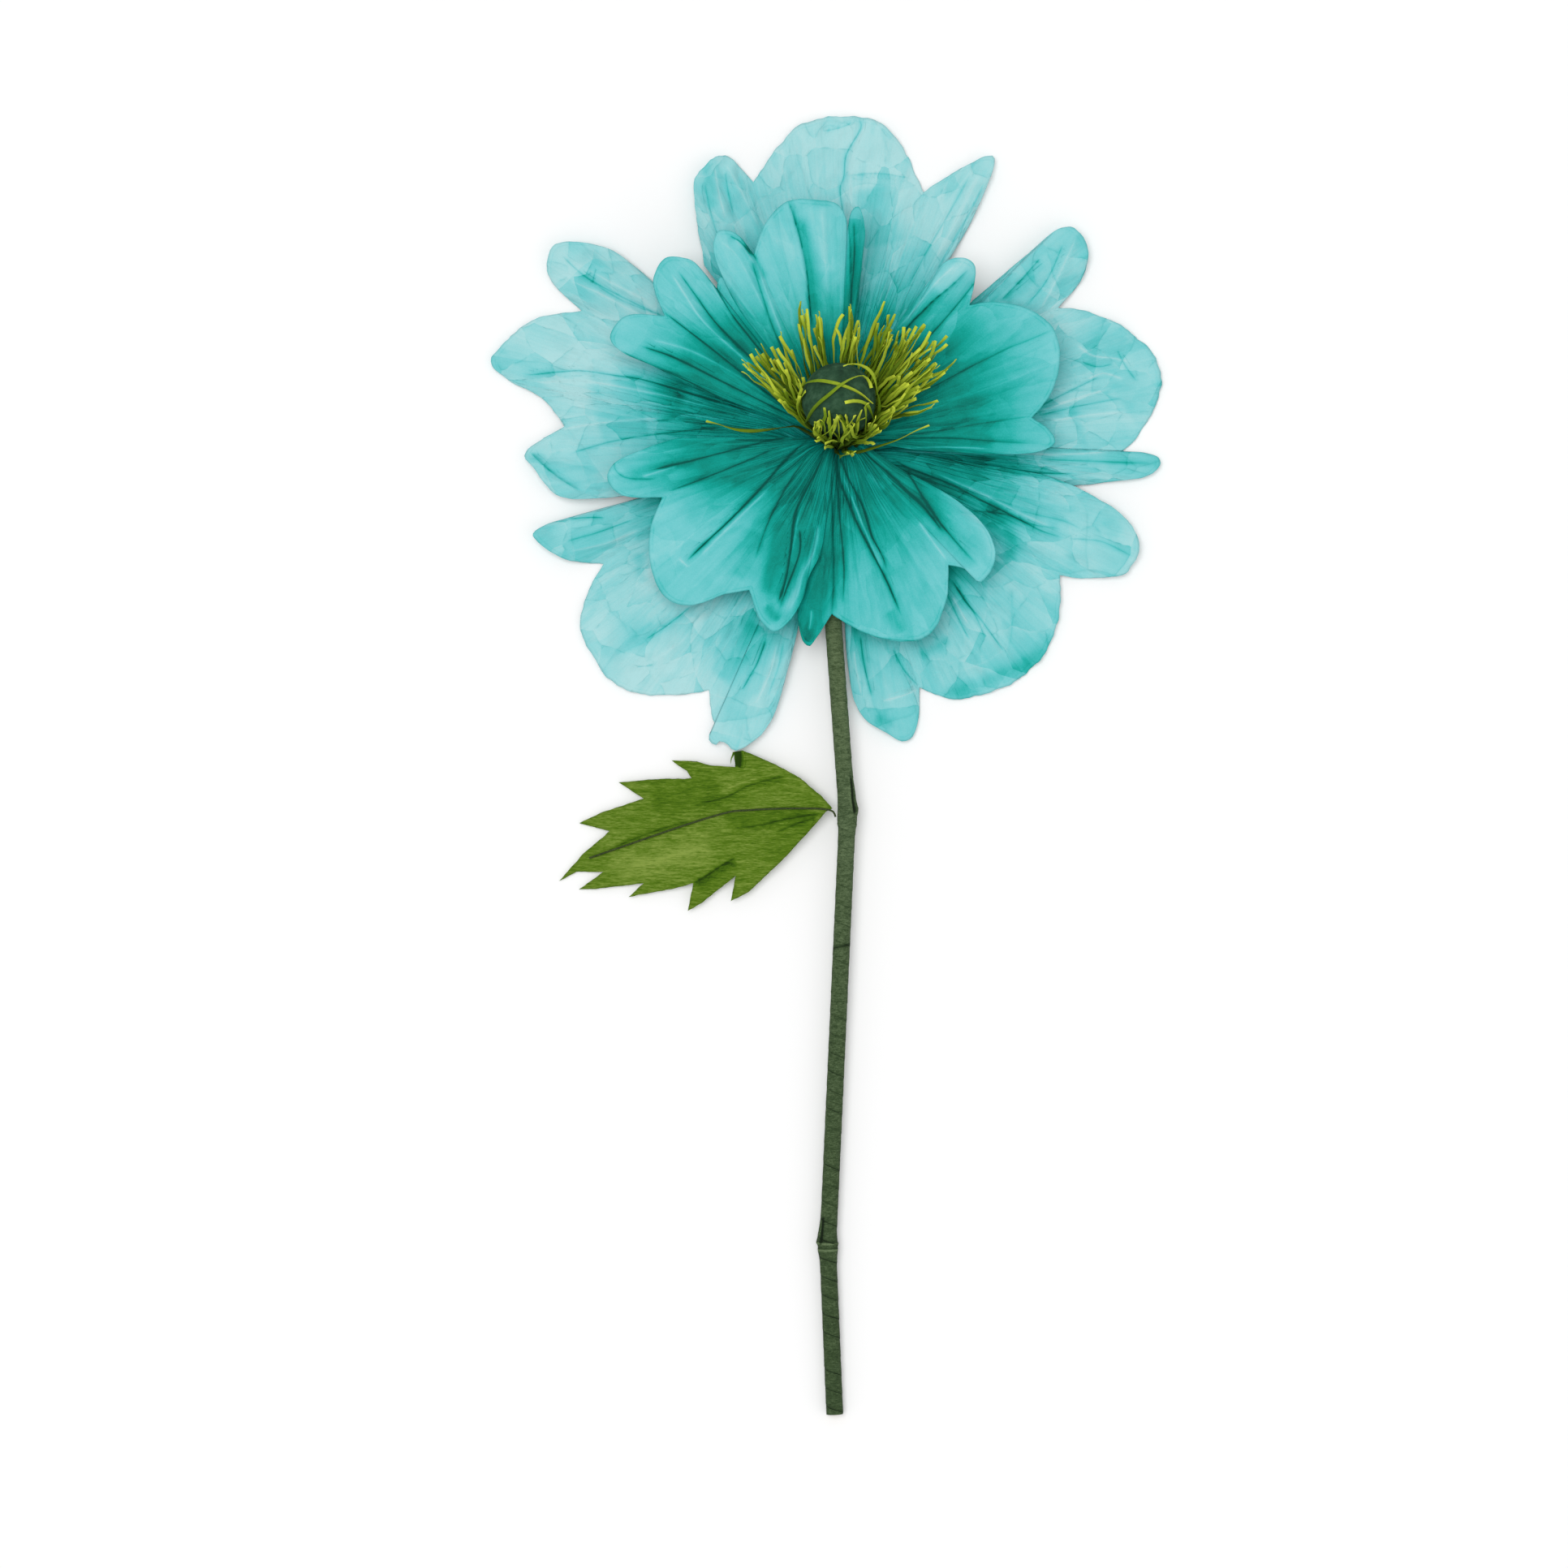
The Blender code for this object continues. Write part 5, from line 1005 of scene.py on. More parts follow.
# Strands laid one by one: places in the picture from foot to tip, and their heights over the table
laidStrands = {
    "across_left": {"way": [(1012, 540), (985, 505), (990, 475), (1006, 469), (1019, 470), (1036, 474),
                            (1057, 483), (1075, 497)],
                    "heights": (0.040, 0.058, 0.074, 0.084, 0.0875, 0.0880, 0.084, 0.077)},
    "across_right": {"way": [(1018, 545), (996, 522), (998, 516), (1008, 500), (1020, 488), (1036, 474),
                             (1052, 465), (1064, 463), (1071, 470), (1073, 478)],
                     "heights": (0.040, 0.060, 0.070, 0.080, 0.0855, 0.0892, 0.086, 0.082, 0.079, 0.076)},
    "round_back": {"way": [(1060, 540), (1082, 510), (1081, 488), (1078, 467), (1070, 455), (1057, 449),
                           (1044, 449), (1039, 451)],
                   "heights": (0.040, 0.060, 0.070, 0.077, 0.080, 0.082, 0.083, 0.0828)},
    "short_end": {"way": [(1052, 552), (1075, 525), (1071, 503), (1064, 496), (1052, 494), (1041, 496)],
                  "heights": (0.040, 0.062, 0.081, 0.0865, 0.0885, 0.0895)},
    "stray_left": {"way": [(1020, 548), (985, 527), (970, 526), (950, 529), (927, 531), (906, 529),
                           (886, 523), (870, 519)],
                   "heights": (0.038, 0.043, 0.045, 0.047, 0.048, 0.049, 0.051, 0.053)},
    "stray_right": {"way": [(1040, 556), (1057, 557), (1085, 549), (1108, 541), (1128, 531), (1145, 524)],
                    "heights": (0.040, 0.046, 0.050, 0.052, 0.054, 0.056)},
}


def bezier(points, steps):
    a, b, c, d = points
    return [a * (1 - t) ** 3 + b * 3 * t * (1 - t) ** 2 + c * 3 * t * t * (1 - t) + d * t ** 3
            for t in (k / steps for k in range(steps + 1))]


def clearOfBall(point, lift):
    away = point - ballCentre()
    least = ballLook["radius"] + strandLook["clear"] + lift
    return ballCentre() + away.normalized() * least if away.length < least else point


def tuftStrand(draw, tip, rise, turn, sway):
    """Guide places of one strand, from the rolled band at the neck out to its tip."""
    height = head.z + rise
    tipPlace = fromPicture(tip[0], tip[1], height)
    away = tipPlace - head
    tilt = math.radians(neck["tilt"])
    across = away.y * math.cos(tilt) - away.z * math.sin(tilt)
    bearing = math.atan2(across, away.x) + draw.gauss(0, 1) * sway
    foot = axisPlace(strandLook["bands"][turn] + strandLook["bandWall"] / 2, bearing, -0.0015)
    axis = (axisPlace(0, 0, 1) - axisPlace(0, 0, 0)).normalized()
    tipPlace = foot.lerp(tipPlace, draw.uniform(strandLook["shortest"], 1.03))
    length = (tipPlace - foot).length
    outward = (axisPlace(1, bearing, 0) - axisPlace(0, 0, 0)).normalized()
    loose = lambda: Vector([draw.gauss(0, 1) * strandLook["stray"] * length for _ in range(3)])
    second = foot + (axis * 0.75 + outward * 0.6) * length * 0.26 + loose() * 0.5
    third = foot.lerp(tipPlace, 0.68) + (axis * draw.uniform(-0.05, 0.02) + outward * draw.uniform(0, 0.05)) * length + loose()
    steps = max(8, round(length / strandLook["step"]))
    places = bezier((foot, second, third, tipPlace), steps)
    phase = Vector((draw.uniform(0, 50), draw.uniform(0, 50), draw.uniform(0, 50)))
    bent = []
    for k, place in enumerate(places):
        share = k / steps
        kink = noise.noise_vector(phase + Vector((0, 0, share * 3.4))) * strandLook["kink"]
        kink += noise.noise_vector(phase + Vector((9, 0, share * 10))) * strandLook["kink"] * 0.35
        kink *= min(1, share * 3)
        bent.append(clearOfBall(place + kink, turn * 0.0008))
    return bent


def laidStrand(draw, laid, lift):
    places = [fromPicture(x, y, z) for (x, y), z in zip(laid["way"], laid["heights"])]
    smoothPlaces = evenCurve([tuple(p) for p in places], 26)
    return [clearOfBall(Vector(p), lift) for p in smoothPlaces]


def strandGuides():
    """All strands, shared out over the three rolled strips."""
    draw = random.Random(strandLook["seed"])
    strands = ([], [], [])
    number = 0
    for tuft in tufts:
        tips = evenCurve(tuft["tips"], 40) if len(tuft["tips"]) > 1 else np.array(tuft["tips"] * 41, float)
        for k in range(tuft["count"]):
            share = (k + 0.5) / tuft["count"]
            tip = tips[round(share * 40)] + [draw.gauss(0, 1) * strandLook["scatter"] for _ in range(2)]
            rise = draw.uniform(*tuft["rise"]) * 0.001
            turn = number % 3
            strands[turn].append(tuftStrand(draw, tip, rise, turn, tuft.get("sway", strandLook["sway"])))
            number += 1
    for order, laid in enumerate(laidStrands.values()):
        strands[0].append(laidStrand(draw, laid, 0.0005 * (order % 3)))
    return strands


def guideMesh(name, strands, draw):
    """Strands as plain lines, with how far along each corner is and the strand's own shade and twist."""
    corners, edges, along, shade, spin, girth = [], [], [], [], [], []
    for places in strands:
        own = draw.random()
        turnSpeed = draw.uniform(0.4, 1.25) * draw.choice((-1, 1))
        phase = draw.uniform(0, 2 * math.pi)
        size = draw.uniform(*strandLook["girths"]) * (0.92 + 7 * (places[-1].z - head.z))
        walked = 0.0
        for k, place in enumerate(places):
            share = k / (len(places) - 1)
            if k:
                walked += (place - places[k - 1]).length
                edges.append((len(corners) - 1, len(corners)))
            corners.append(place)
            along.append(share)
            shade.append(own)
            spin.append(phase + turnSpeed * strandLook["turns"] * walked * 2)
            flare = 1 + (strandLook["flare"] - 1) * max(0, share - 0.85) / 0.15
            girth.append(size * flare * (0.92 + 0.16 * noise.noise(place * 260)))
    mesh = bpy.data.meshes.new(name)
    mesh.from_pydata([tuple(c) for c in corners], edges, [])
    for key, numbers in (("along", along), ("shade", shade), ("spin", spin), ("girth", girth)):
        mesh.attributes.new(key, "FLOAT", "POINT").data.foreach_set("value", np.array(numbers, np.float32))
    item = bpy.data.objects.new(name, mesh)
    bpy.context.collection.objects.link(item)
    return item


def groupInputs(tree, fields):
    tree.interface.new_socket("Geometry", in_out="INPUT", socket_type="NodeSocketGeometry")
    for name, kind in fields:
        tree.interface.new_socket(name, in_out="INPUT", socket_type=kind)
    tree.interface.new_socket("Geometry", in_out="OUTPUT", socket_type="NodeSocketGeometry")


def namedValue(tree, name):
    node = addNode(tree, "GeometryNodeInputNamedAttribute", data_type="FLOAT")
    node.inputs["Name"].default_value = name
    return node.outputs["Attribute"]


def strandTree():
    """Guide lines become twisted flat strands with cut ends."""
    tree = bpy.data.node_groups.new("twisted_strands", "GeometryNodeTree")
    groupInputs(tree, [("Width", "NodeSocketFloat"), ("Flatness", "NodeSocketFloat"),
                       ("Sides", "NodeSocketInt"), ("Material", "NodeSocketMaterial")])
    start = addNode(tree, "NodeGroupInput")
    end = addNode(tree, "NodeGroupOutput")
    curve = addNode(tree, "GeometryNodeMeshToCurve")
    radius = addNode(tree, "GeometryNodeSetCurveRadius")
    tilt = addNode(tree, "GeometryNodeSetCurveTilt")
    circle = addNode(tree, "GeometryNodeCurvePrimitiveCircle")
    press = addNode(tree, "GeometryNodeTransform")
    scale = addNode(tree, "ShaderNodeCombineXYZ")
    scale.inputs["X"].default_value = 1.0
    scale.inputs["Z"].default_value = 1.0
    sweep = addNode(tree, "GeometryNodeCurveToMesh")
    sweep.inputs["Fill Caps"].default_value = True
    realize = addNode(tree, "GeometryNodeRealizeInstances")
    shade = addNode(tree, "GeometryNodeSetShadeSmooth")
    paintOn = addNode(tree, "GeometryNodeSetMaterial")
    link(tree, start, "Geometry", curve, "Mesh")
    link(tree, curve, "Curve", radius, "Curve")
    tree.links.new(namedValue(tree, "girth"), radius.inputs["Radius"])
    link(tree, radius, "Curve", tilt, "Curve")
    tree.links.new(namedValue(tree, "spin"), tilt.inputs["Tilt"])
    half = mathNode(tree, "MULTIPLY", start.outputs["Width"], 0.5)
    tree.links.new(half, circle.inputs["Radius"])
    link(tree, start, "Sides", circle, "Resolution")
    link(tree, circle, "Curve", press, "Geometry")
    link(tree, start, "Flatness", scale, "Y")
    link(tree, scale, "Vector", press, "Scale")
    link(tree, tilt, "Curve", sweep, "Curve")
    link(tree, press, "Geometry", sweep, "Profile Curve")
    link(tree, sweep, "Mesh", realize, "Geometry")
    link(tree, realize, "Geometry", shade, "Geometry")
    link(tree, shade, "Geometry", paintOn, "Geometry")
    link(tree, start, "Material", paintOn, "Material")
    link(tree, paintOn, "Geometry", end, "Geometry")
    return tree


def runNodes(item, tree, settings):
    """Runs a node tree on an object and leaves the result as its plain mesh."""
    modifier = item.modifiers.new("nodes", "NODES")
    modifier.node_group = tree
    sockets = {s.name: s.identifier for s in tree.interface.items_tree
               if s.item_type == "SOCKET" and s.in_out == "INPUT"}
    for name, value in settings.items():
        modifier[sockets[name]] = value
    return bakeModifiers(item)


def bakeModifiers(item):
    graph = bpy.context.evaluated_depsgraph_get()
    mesh = bpy.data.meshes.new_from_object(item.evaluated_get(graph))
    mesh.name = item.name
    for corner in mesh.vertices:
        corner.co.z = max(corner.co.z, 0.0)
    old = item.data
    item.modifiers.clear()
    item.data = mesh
    bpy.data.meshes.remove(old)
    return item


def bandMesh(turn, sides=48):
    """The rolled strip that its strands are cut from, round the neck."""
    near = strandLook["bands"][turn]
    far = near + strandLook["bandWall"]
    profile = [(near, -neck["depth"]), (far, -neck["depth"]), (far, -0.004), (far, 0.0), (near, 0.0), (near, -0.004)]
    rows = turnedGrid(profile, sides)
    faces = []
    for j in range(len(rows)):
        for k in range(sides):
            a, b = j * sides + k, j * sides + (k + 1) % sides
            c, d = ((j + 1) % len(rows)) * sides + (k + 1) % sides, ((j + 1) % len(rows)) * sides + k
            faces.append((a, b, c, d))
    return [tuple(c) for row in rows for c in row], faces


def joinBand(item, turn):
    """Adds the rolled strip to its strands' mesh, with the same values at its corners."""
    corners, faces = bandMesh(turn)
    band = bpy.data.meshes.new("band")
    band.from_pydata(corners, [], faces)
    band.attributes.new("along", "FLOAT", "POINT")
    band.attributes.new("shade", "FLOAT", "POINT")
    band.materials.append(item.data.materials[0])
    other = bpy.data.objects.new("band", band)
    bpy.context.collection.objects.link(other)
    with bpy.context.temp_override(active_object=item, object=item, selected_objects=[item, other],
                                   selected_editable_objects=[item, other]):
        bpy.ops.object.join()


def buildStamens(material):
    draw = random.Random(strandLook["seed"] + 1)
    tree = strandTree()
    for turn, (strands, part) in enumerate(zip(strandGuides(), ("inner", "middle", "outer"))):
        item = guideMesh("strands_" + part, strands, draw)
        runNodes(item, tree, {"Width": strandLook["width"], "Flatness": strandLook["flat"],
                              "Sides": strandLook["sides"], "Material": material})
        joinBand(item, turn)
        finishPiece(item, ["stamen_fringe_" + part])
        print("strands:", part, len(strands), len(item.data.polygons))


def ballMaterial():
    material, tree, shader = newMaterial("dark_crepe", 0.8)
    coordinates = addNode(tree, "ShaderNodeTexCoord").outputs["Object"]
    patches = noiseNode(tree, coordinates, 160.0, 5.0, 0.65)
    ramp = rampNode(tree, [(0.25, paint(22, 46, 32)), (0.5, paint(42, 74, 52)), (0.75, paint(66, 98, 74))])
    link(tree, patches, "Fac", ramp, "Fac")
    link(tree, ramp, "Color", shader, "Base Color")
    fine = noiseNode(tree, coordinates, 1400.0, 3.0, 0.6)
    wrinkle = noiseNode(tree, coordinates, 320.0, 5.0, 0.7)
    bumpChain(tree, shader, [(wrinkle.outputs["Fac"], 0.5, 0.0008), (fine.outputs["Fac"], 0.3, 0.0002)])
    return material


def strandMaterial():
    """Yellow-green paper with painted shade towards the foot of a strand, among the crowded strands by the ball, a
    painted highlight at the cut tip, and each strand a tone of its own.
    """
    material, tree, shader = newMaterial("strand_paper", 0.7)
    coordinates = addNode(tree, "ShaderNodeTexCoord").outputs["Object"]
    along = addNode(tree, "ShaderNodeAttribute", attribute_name="along").outputs["Fac"]
    shade = addNode(tree, "ShaderNodeAttribute", attribute_name="shade").outputs["Fac"]
    streaks = noiseNode(tree, coordinates, 420.0, 4.0, 0.6)
    # Darker towards the foot is painted shade; the brightening over the last part of a strand is a painted highlight on
    # its tip.
    level = total(tree, [(along, 0.62), (shade, 0.34), (streaks.outputs["Fac"], 0.12),
                         (easing(tree, along, 0.93, 1.0, 0.0, 1.0), 0.14)])
    ramp = rampNode(tree, [(0.10, paint(22, 36, 8)), (0.40, paint(50, 74, 10)), (0.66, paint(108, 136, 20)),
                           (1.0, paint(200, 214, 66))])
    tree.links.new(level, ramp.inputs["Fac"])
    link(tree, ramp, "Color", shader, "Base Color")
    fine = noiseNode(tree, coordinates, 1800.0, 2.0, 0.6)
    bumpChain(tree, shader, [(streaks.outputs["Fac"], 0.3, 0.0004), (fine.outputs["Fac"], 0.15, 0.0001)])
    return material


buildBall(ballMaterial())
buildStamens(strandMaterial())
print("ball and stamens")


# Stem: a crepe strip wound up the cane. A node tree sweeps it along the cane and steps each turn
# over the last one.

wrapLook = {"step": 0.0012, "sides": 48, "thickness": 0.0004, "lap": 0.00020, "pitch": 0.0115,
            "lapEdge": 0.12, "crepe": 0.00012, "crepeSize": 900.0, "lumps": 0.00022, "lumpSize": 120.0,
            "ridge": 0.0004, "ridgeWidth": 0.0007}

# Fine ridges at the bamboo nodes, as distances from the node, and the bud stubs with their slits
nodeRidges = {0.103: (-0.0016, 0.0024), 0.368: (-0.0052,)}
budStubs = [{"at": 0.103, "side": math.pi, "slit": 2.36, "length": 0.020},
            {"at": 0.368, "side": 0.0, "slit": 0.74, "length": 0.026}]


def canePoint(distance):
    for before, after, length in zip(knees, knees[1:], cane["lengths"]):
        if distance <= length:
            return before.lerp(after, distance / length)
        distance -= length
    return knees[-1].copy()


def caneSwell(distance):
    """Extra radius of the cane at its nodes, without the bud stubs."""
    swell = 0.0
    for at in (cane["lengths"][0], cane["lengths"][0] + cane["lengths"][1]):
        swell += cane["swell"] * math.exp(-((distance - at) / cane["spread"]) ** 2)
    for at, offsets in nodeRidges.items():
        for offset in offsets:
            swell += wrapLook["ridge"] * math.exp(-((distance - at - offset) / wrapLook["ridgeWidth"]) ** 2)
    return swell


def budSwell(distance, stub):
    along = (distance - stub["at"]) / stub["length"]
    return cane["budSwell"] * float(smooth(along * 5)) * (1 - along) if 0 <= along < 1 else 0.0


def caneGuide():
    """The cane's centre line, softened at the knees, with the swells at each place."""
    total = sum(cane["lengths"])
    count = round(total / wrapLook["step"])
    places = [total * k / count for k in range(count + 1)]
    corners = []
    for place in places:
        near = [canePoint(min(total, max(0.0, place + shift))) for shift in (-0.003, 0.0, 0.003)]
        corners.append(sum(near, Vector()) / 3 if 0.003 < place < total - 0.003 else canePoint(place))
    mesh = bpy.data.meshes.new("stem_paper")
    mesh.from_pydata([tuple(c) for c in corners], [(k, k + 1) for k in range(count)], [])
    values = {"distance": places, "swell": [caneSwell(p) for p in places],
              "budLow": [budSwell(p, budStubs[0]) for p in places],
              "budHigh": [budSwell(p, budStubs[1]) for p in places]}
    for key, numbers in values.items():
        mesh.attributes.new(key, "FLOAT", "POINT").data.foreach_set("value", np.array(numbers, np.float32))
    item = bpy.data.objects.new("stem_paper", mesh)
    bpy.context.collection.objects.link(item)
    return item


def vectorNode(tree, operation, first, second=None):
    node = addNode(tree, "ShaderNodeVectorMath", operation=operation)
    for index, value in enumerate((first, second)):
        if value is not None:
            tree.links.new(value, node.inputs[index])
    return node.outputs["Value" if operation in ("DOT_PRODUCT", "LENGTH") else "Vector"]


def budField(tree, name, angle, stub):
    """A bud stub's swell, on one side of the cane only, parted from the cane by a slit."""
    turned = mathNode(tree, "COSINE", mathNode(tree, "SUBTRACT", angle, stub["side"]))
    around = mathNode(tree, "POWER", mathNode(tree, "MAXIMUM", turned, 0.0), 4.0)
    toSlit = mathNode(tree, "COSINE", mathNode(tree, "SUBTRACT", angle, stub["slit"]))
    slit = mathNode(tree, "POWER", mathNode(tree, "MAXIMUM", toSlit, 0.0), 160.0)
    shape = mathNode(tree, "SUBTRACT", around, mathNode(tree, "MULTIPLY", slit, 0.45))
    return mathNode(tree, "MULTIPLY", namedValue(tree, name), shape)


def storeNode(tree, name, value, source, kind="FLOAT"):
    node = addNode(tree, "GeometryNodeStoreNamedAttribute", data_type=kind)
    node.inputs["Name"].default_value = name
    tree.links.new(value, node.inputs["Value"])
    tree.links.new(source, node.inputs["Geometry"])
    return node.outputs["Geometry"]


def wrapTree():
    tree = bpy.data.node_groups.new("wound_strip", "GeometryNodeTree")
    groupInputs(tree, [("Radius", "NodeSocketFloat"), ("Sides", "NodeSocketInt"), ("Pitch", "NodeSocketFloat"),
                       ("Lap", "NodeSocketFloat"), ("Lap Edge", "NodeSocketFloat"), ("Crepe", "NodeSocketFloat"),
                       ("Crepe Size", "NodeSocketFloat"), ("Lumps", "NodeSocketFloat"),
                       ("Lump Size", "NodeSocketFloat"), ("Material", "NodeSocketMaterial")])
    start = addNode(tree, "NodeGroupInput")
    end = addNode(tree, "NodeGroupOutput")
    curve = addNode(tree, "GeometryNodeMeshToCurve")
    link(tree, start, "Geometry", curve, "Mesh")
    place = addNode(tree, "GeometryNodeInputPosition").outputs["Position"]
    centred = storeNode(tree, "centre", place, curve.outputs["Curve"], "FLOAT_VECTOR")
    level = addNode(tree, "GeometryNodeSetCurveNormal", mode="Z_UP")
    tree.links.new(centred, level.inputs["Curve"])
    circle = addNode(tree, "GeometryNodeCurvePrimitiveCircle")
    link(tree, start, "Radius", circle, "Radius")
    link(tree, start, "Sides", circle, "Resolution")
    sweep = addNode(tree, "GeometryNodeCurveToMesh")
    link(tree, level, "Curve", sweep, "Curve")
    link(tree, circle, "Curve", sweep, "Profile Curve")
    centre = addNode(tree, "GeometryNodeInputNamedAttribute", data_type="FLOAT_VECTOR")
    centre.inputs["Name"].default_value = "centre"
    away = vectorNode(tree, "SUBTRACT", place, centre.outputs["Attribute"])
    outward = vectorNode(tree, "NORMALIZE", away)
    parts = addNode(tree, "ShaderNodeSeparateXYZ")
    tree.links.new(away, parts.inputs["Vector"])
    angle = addNode(tree, "ShaderNodeMath", operation="ARCTAN2")
    link(tree, parts, "Z", angle, 0)
    link(tree, parts, "X", angle, 1)
    angle = angle.outputs[0]
    turns = mathNode(tree, "SUBTRACT", mathNode(tree, "DIVIDE", namedValue(tree, "distance"), start.outputs["Pitch"]),
                     mathNode(tree, "DIVIDE", angle, 2 * math.pi))
    turn = mathNode(tree, "FRACT", turns)
    rise = addNode(tree, "ShaderNodeMapRange", interpolation_type="SMOOTHSTEP")
    tree.links.new(turn, rise.inputs["Value"])
    link(tree, start, "Lap Edge", rise, "From Max")
    lap = mathNode(tree, "MULTIPLY", mathNode(tree, "MULTIPLY", rise.outputs["Result"],
                                              mathNode(tree, "SUBTRACT", 1.0, turn)), start.outputs["Lap"])
    crepe = addNode(tree, "ShaderNodeTexNoise")
    link(tree, start, "Crepe Size", crepe, "Scale")
    lumps = addNode(tree, "ShaderNodeTexNoise")
    link(tree, start, "Lump Size", lumps, "Scale")
    for texture in (crepe, lumps):
        tree.links.new(place, texture.inputs["Vector"])
    fine = mathNode(tree, "MULTIPLY", mathNode(tree, "SUBTRACT", crepe.outputs["Fac"], 0.5), start.outputs["Crepe"])
    broad = mathNode(tree, "MULTIPLY", mathNode(tree, "SUBTRACT", lumps.outputs["Fac"], 0.5), start.outputs["Lumps"])
    lift = mathNode(tree, "ADD", lap, mathNode(tree, "ADD", fine, broad))
    lift = mathNode(tree, "ADD", lift, namedValue(tree, "swell"))
    lift = mathNode(tree, "ADD", lift, budField(tree, "budLow", angle, budStubs[0]))
    lift = mathNode(tree, "ADD", lift, budField(tree, "budHigh", angle, budStubs[1]))
    scaled = addNode(tree, "ShaderNodeVectorMath", operation="SCALE")
    tree.links.new(outward, scaled.inputs[0])
    tree.links.new(lift, scaled.inputs["Scale"])
    marked = storeNode(tree, "outward", outward, sweep.outputs["Mesh"], "FLOAT_VECTOR")
    move = addNode(tree, "GeometryNodeSetPosition")
    tree.links.new(marked, move.inputs["Geometry"])
    link(tree, scaled, "Vector", move, "Offset")
    realize = addNode(tree, "GeometryNodeRealizeInstances")
    link(tree, move, "Geometry", realize, "Geometry")
    paintOn = addNode(tree, "GeometryNodeSetMaterial")
    link(tree, realize, "Geometry", paintOn, "Geometry")
    link(tree, start, "Material", paintOn, "Material")
    link(tree, paintOn, "Geometry", end, "Geometry")
    return tree


def buildWrap(material):
    item = caneGuide()
    look = wrapLook
    runNodes(item, wrapTree(), {"Radius": cane["wrap"], "Sides": look["sides"], "Pitch": look["pitch"],
                                "Lap": look["lap"], "Lap Edge": look["lapEdge"], "Crepe": look["crepe"],
                                "Crepe Size": look["crepeSize"], "Lumps": look["lumps"],
                                "Lump Size": look["lumpSize"], "Material": material})
    facing(item.data, canePoint(0.2))
    thicken = item.modifiers.new("thickness", "SOLIDIFY")
    thicken.thickness = look["thickness"]
    thicken.offset = -1
    bakeModifiers(item)
    item.data.shade_smooth()
    item.data.set_sharp_from_angle(angle=math.radians(50))
    finishPiece(item, ["stem_wrap"])
    return item


def facing(mesh, inside):
    """Turns a tube's faces outwards, judged by the face nearest to a place inside it."""
    nearest = min(mesh.polygons, key=lambda face: (face.center - inside).length)
    if nearest.normal.dot(nearest.center - inside) < 0:
        mesh.flip_normals()


# Tape round the petals' feet, wound on from the cane

tapeLook = {"thickness": 0.0007, "top": -0.0085, "overlap": 0.012, "bendPlace": 0.55, "bendLean": 0.6,
            "hole": 0.0057, "feet": 0.0103, "sides": 72, "rows": 60, "lap": 0.0004, "laps": 4,
            "crepe": 0.00018}


def tapeRows():
    """Centre, direction and hole of each ring of the tape, from the cane to the petals' feet."""
    top = knees[-1]
    direction = (knees[-1] - knees[-2]).normalized()
    axis = (axisPlace(0, 0, 1) - axisPlace(0, 0, 0)).normalized()
    look = tapeLook
    stations = [
        (top - direction * look["overlap"], direction, look["hole"]),
        (top, direction, look["hole"]),
        (top.lerp(axisPlace(0, 0, -neck["depth"]), look["bendPlace"]),
         (direction + axis * look["bendLean"]).normalized(), (look["hole"] + look["feet"]) / 2),
        (axisPlace(0, 0, -neck["depth"] - 0.0006), axis, look["feet"]),
        (axisPlace(0, 0, look["top"]), axis, look["feet"])]
    rows = []
    spans = len(stations) - 1
    for k in range(look["rows"] + 1):
        where = k / look["rows"] * spans
        i = min(int(where), spans - 1)
        t = where - i
        (c0, a0, h0), (c1, a1, h1) = stations[i], stations[i + 1]
        rows.append((c0.lerp(c1, t), a0.lerp(a1, t).normalized(), h0 + (h1 - h0) * t))
    return rows


def buildTape(material):
    look = tapeLook
    outer, inner = [], []
    for k, (centre, along, hole) in enumerate(tapeRows()):
        side = Vector((1, 0, 0))
        side = (side - along * side.dot(along)).normalized()
        up = along.cross(side)
        share = k / look["rows"]
        for ring, extra in ((outer, look["thickness"]), (inner, 0.0)):
            row = []
            for n in range(look["sides"]):
                angle = 2 * math.pi * n / look["sides"]
                ray = side * math.cos(angle) + up * math.sin(angle)
                size = hole + extra
                if extra:
                    turn = (share * look["laps"] - angle / (2 * math.pi)) % 1.0
                    size += look["lap"] * (1 - turn) * min(1.0, turn / 0.06)
                    size += look["crepe"] * noise.noise((centre + ray * size) * 700)
                row.append(tuple(centre + ray * size))
            ring.append(row)
    corners = [c for ring in (outer, inner) for row in ring for c in row]
    sides, rows = look["sides"], look["rows"] + 1
    under = rows * sides
    faces = []
    for j in range(rows - 1):
        for n in range(sides):
            a, b = j * sides + n, j * sides + (n + 1) % sides
            faces.append((a, b, b + sides, a + sides))
            faces.append((under + b, under + a, under + a + sides, under + b + sides))
    last = (rows - 1) * sides
    for n in range(sides):
        after = (n + 1) % sides
        faces.append((after, n, under + n, under + after))
        faces.append((last + n, last + after, under + last + after, under + last + n))
    return meshPiece("neck_paper", corners, faces, material, ["neck_tape"])


# Leaf: places out from the stem and towards the head, in millimetres from the end of its stalk

leafLook = {"thickness": 0.00028, "tipHeight": 0.0012, "arch": 1.3, "droop": 0.045, "grid": 0.0021,
            "edgeStep": 0.0012, "vein": 0.0006, "veinSpacing": 0.030, "slant": 0.8, "foldWidth": 0.012,
            "ribs": 0.00016, "ribSpacing": 0.0021, "crumple": 0.0009, "cell": 0.016, "wire": 0.0006}
leafUpper = [(2.5, 5), (9.5, 13), (22, 23.5), (37, 32), (57.5, 40.7), (62.3, 40), (63.6, 39.6), (64.8, 36), (65.2, 31.8),
             (63.9, 36), (62.9, 38.2), (62, 30.5), (77.5, 31.5),
             (86, 34), (101.5, 34.5), (92, 28), (89, 23.5), (113, 23), (134, 21), (118.5, 11), (143.5, 3),
             (158.5, -4), (139.5, -9), (155.5, -22.5), (171, -40)]
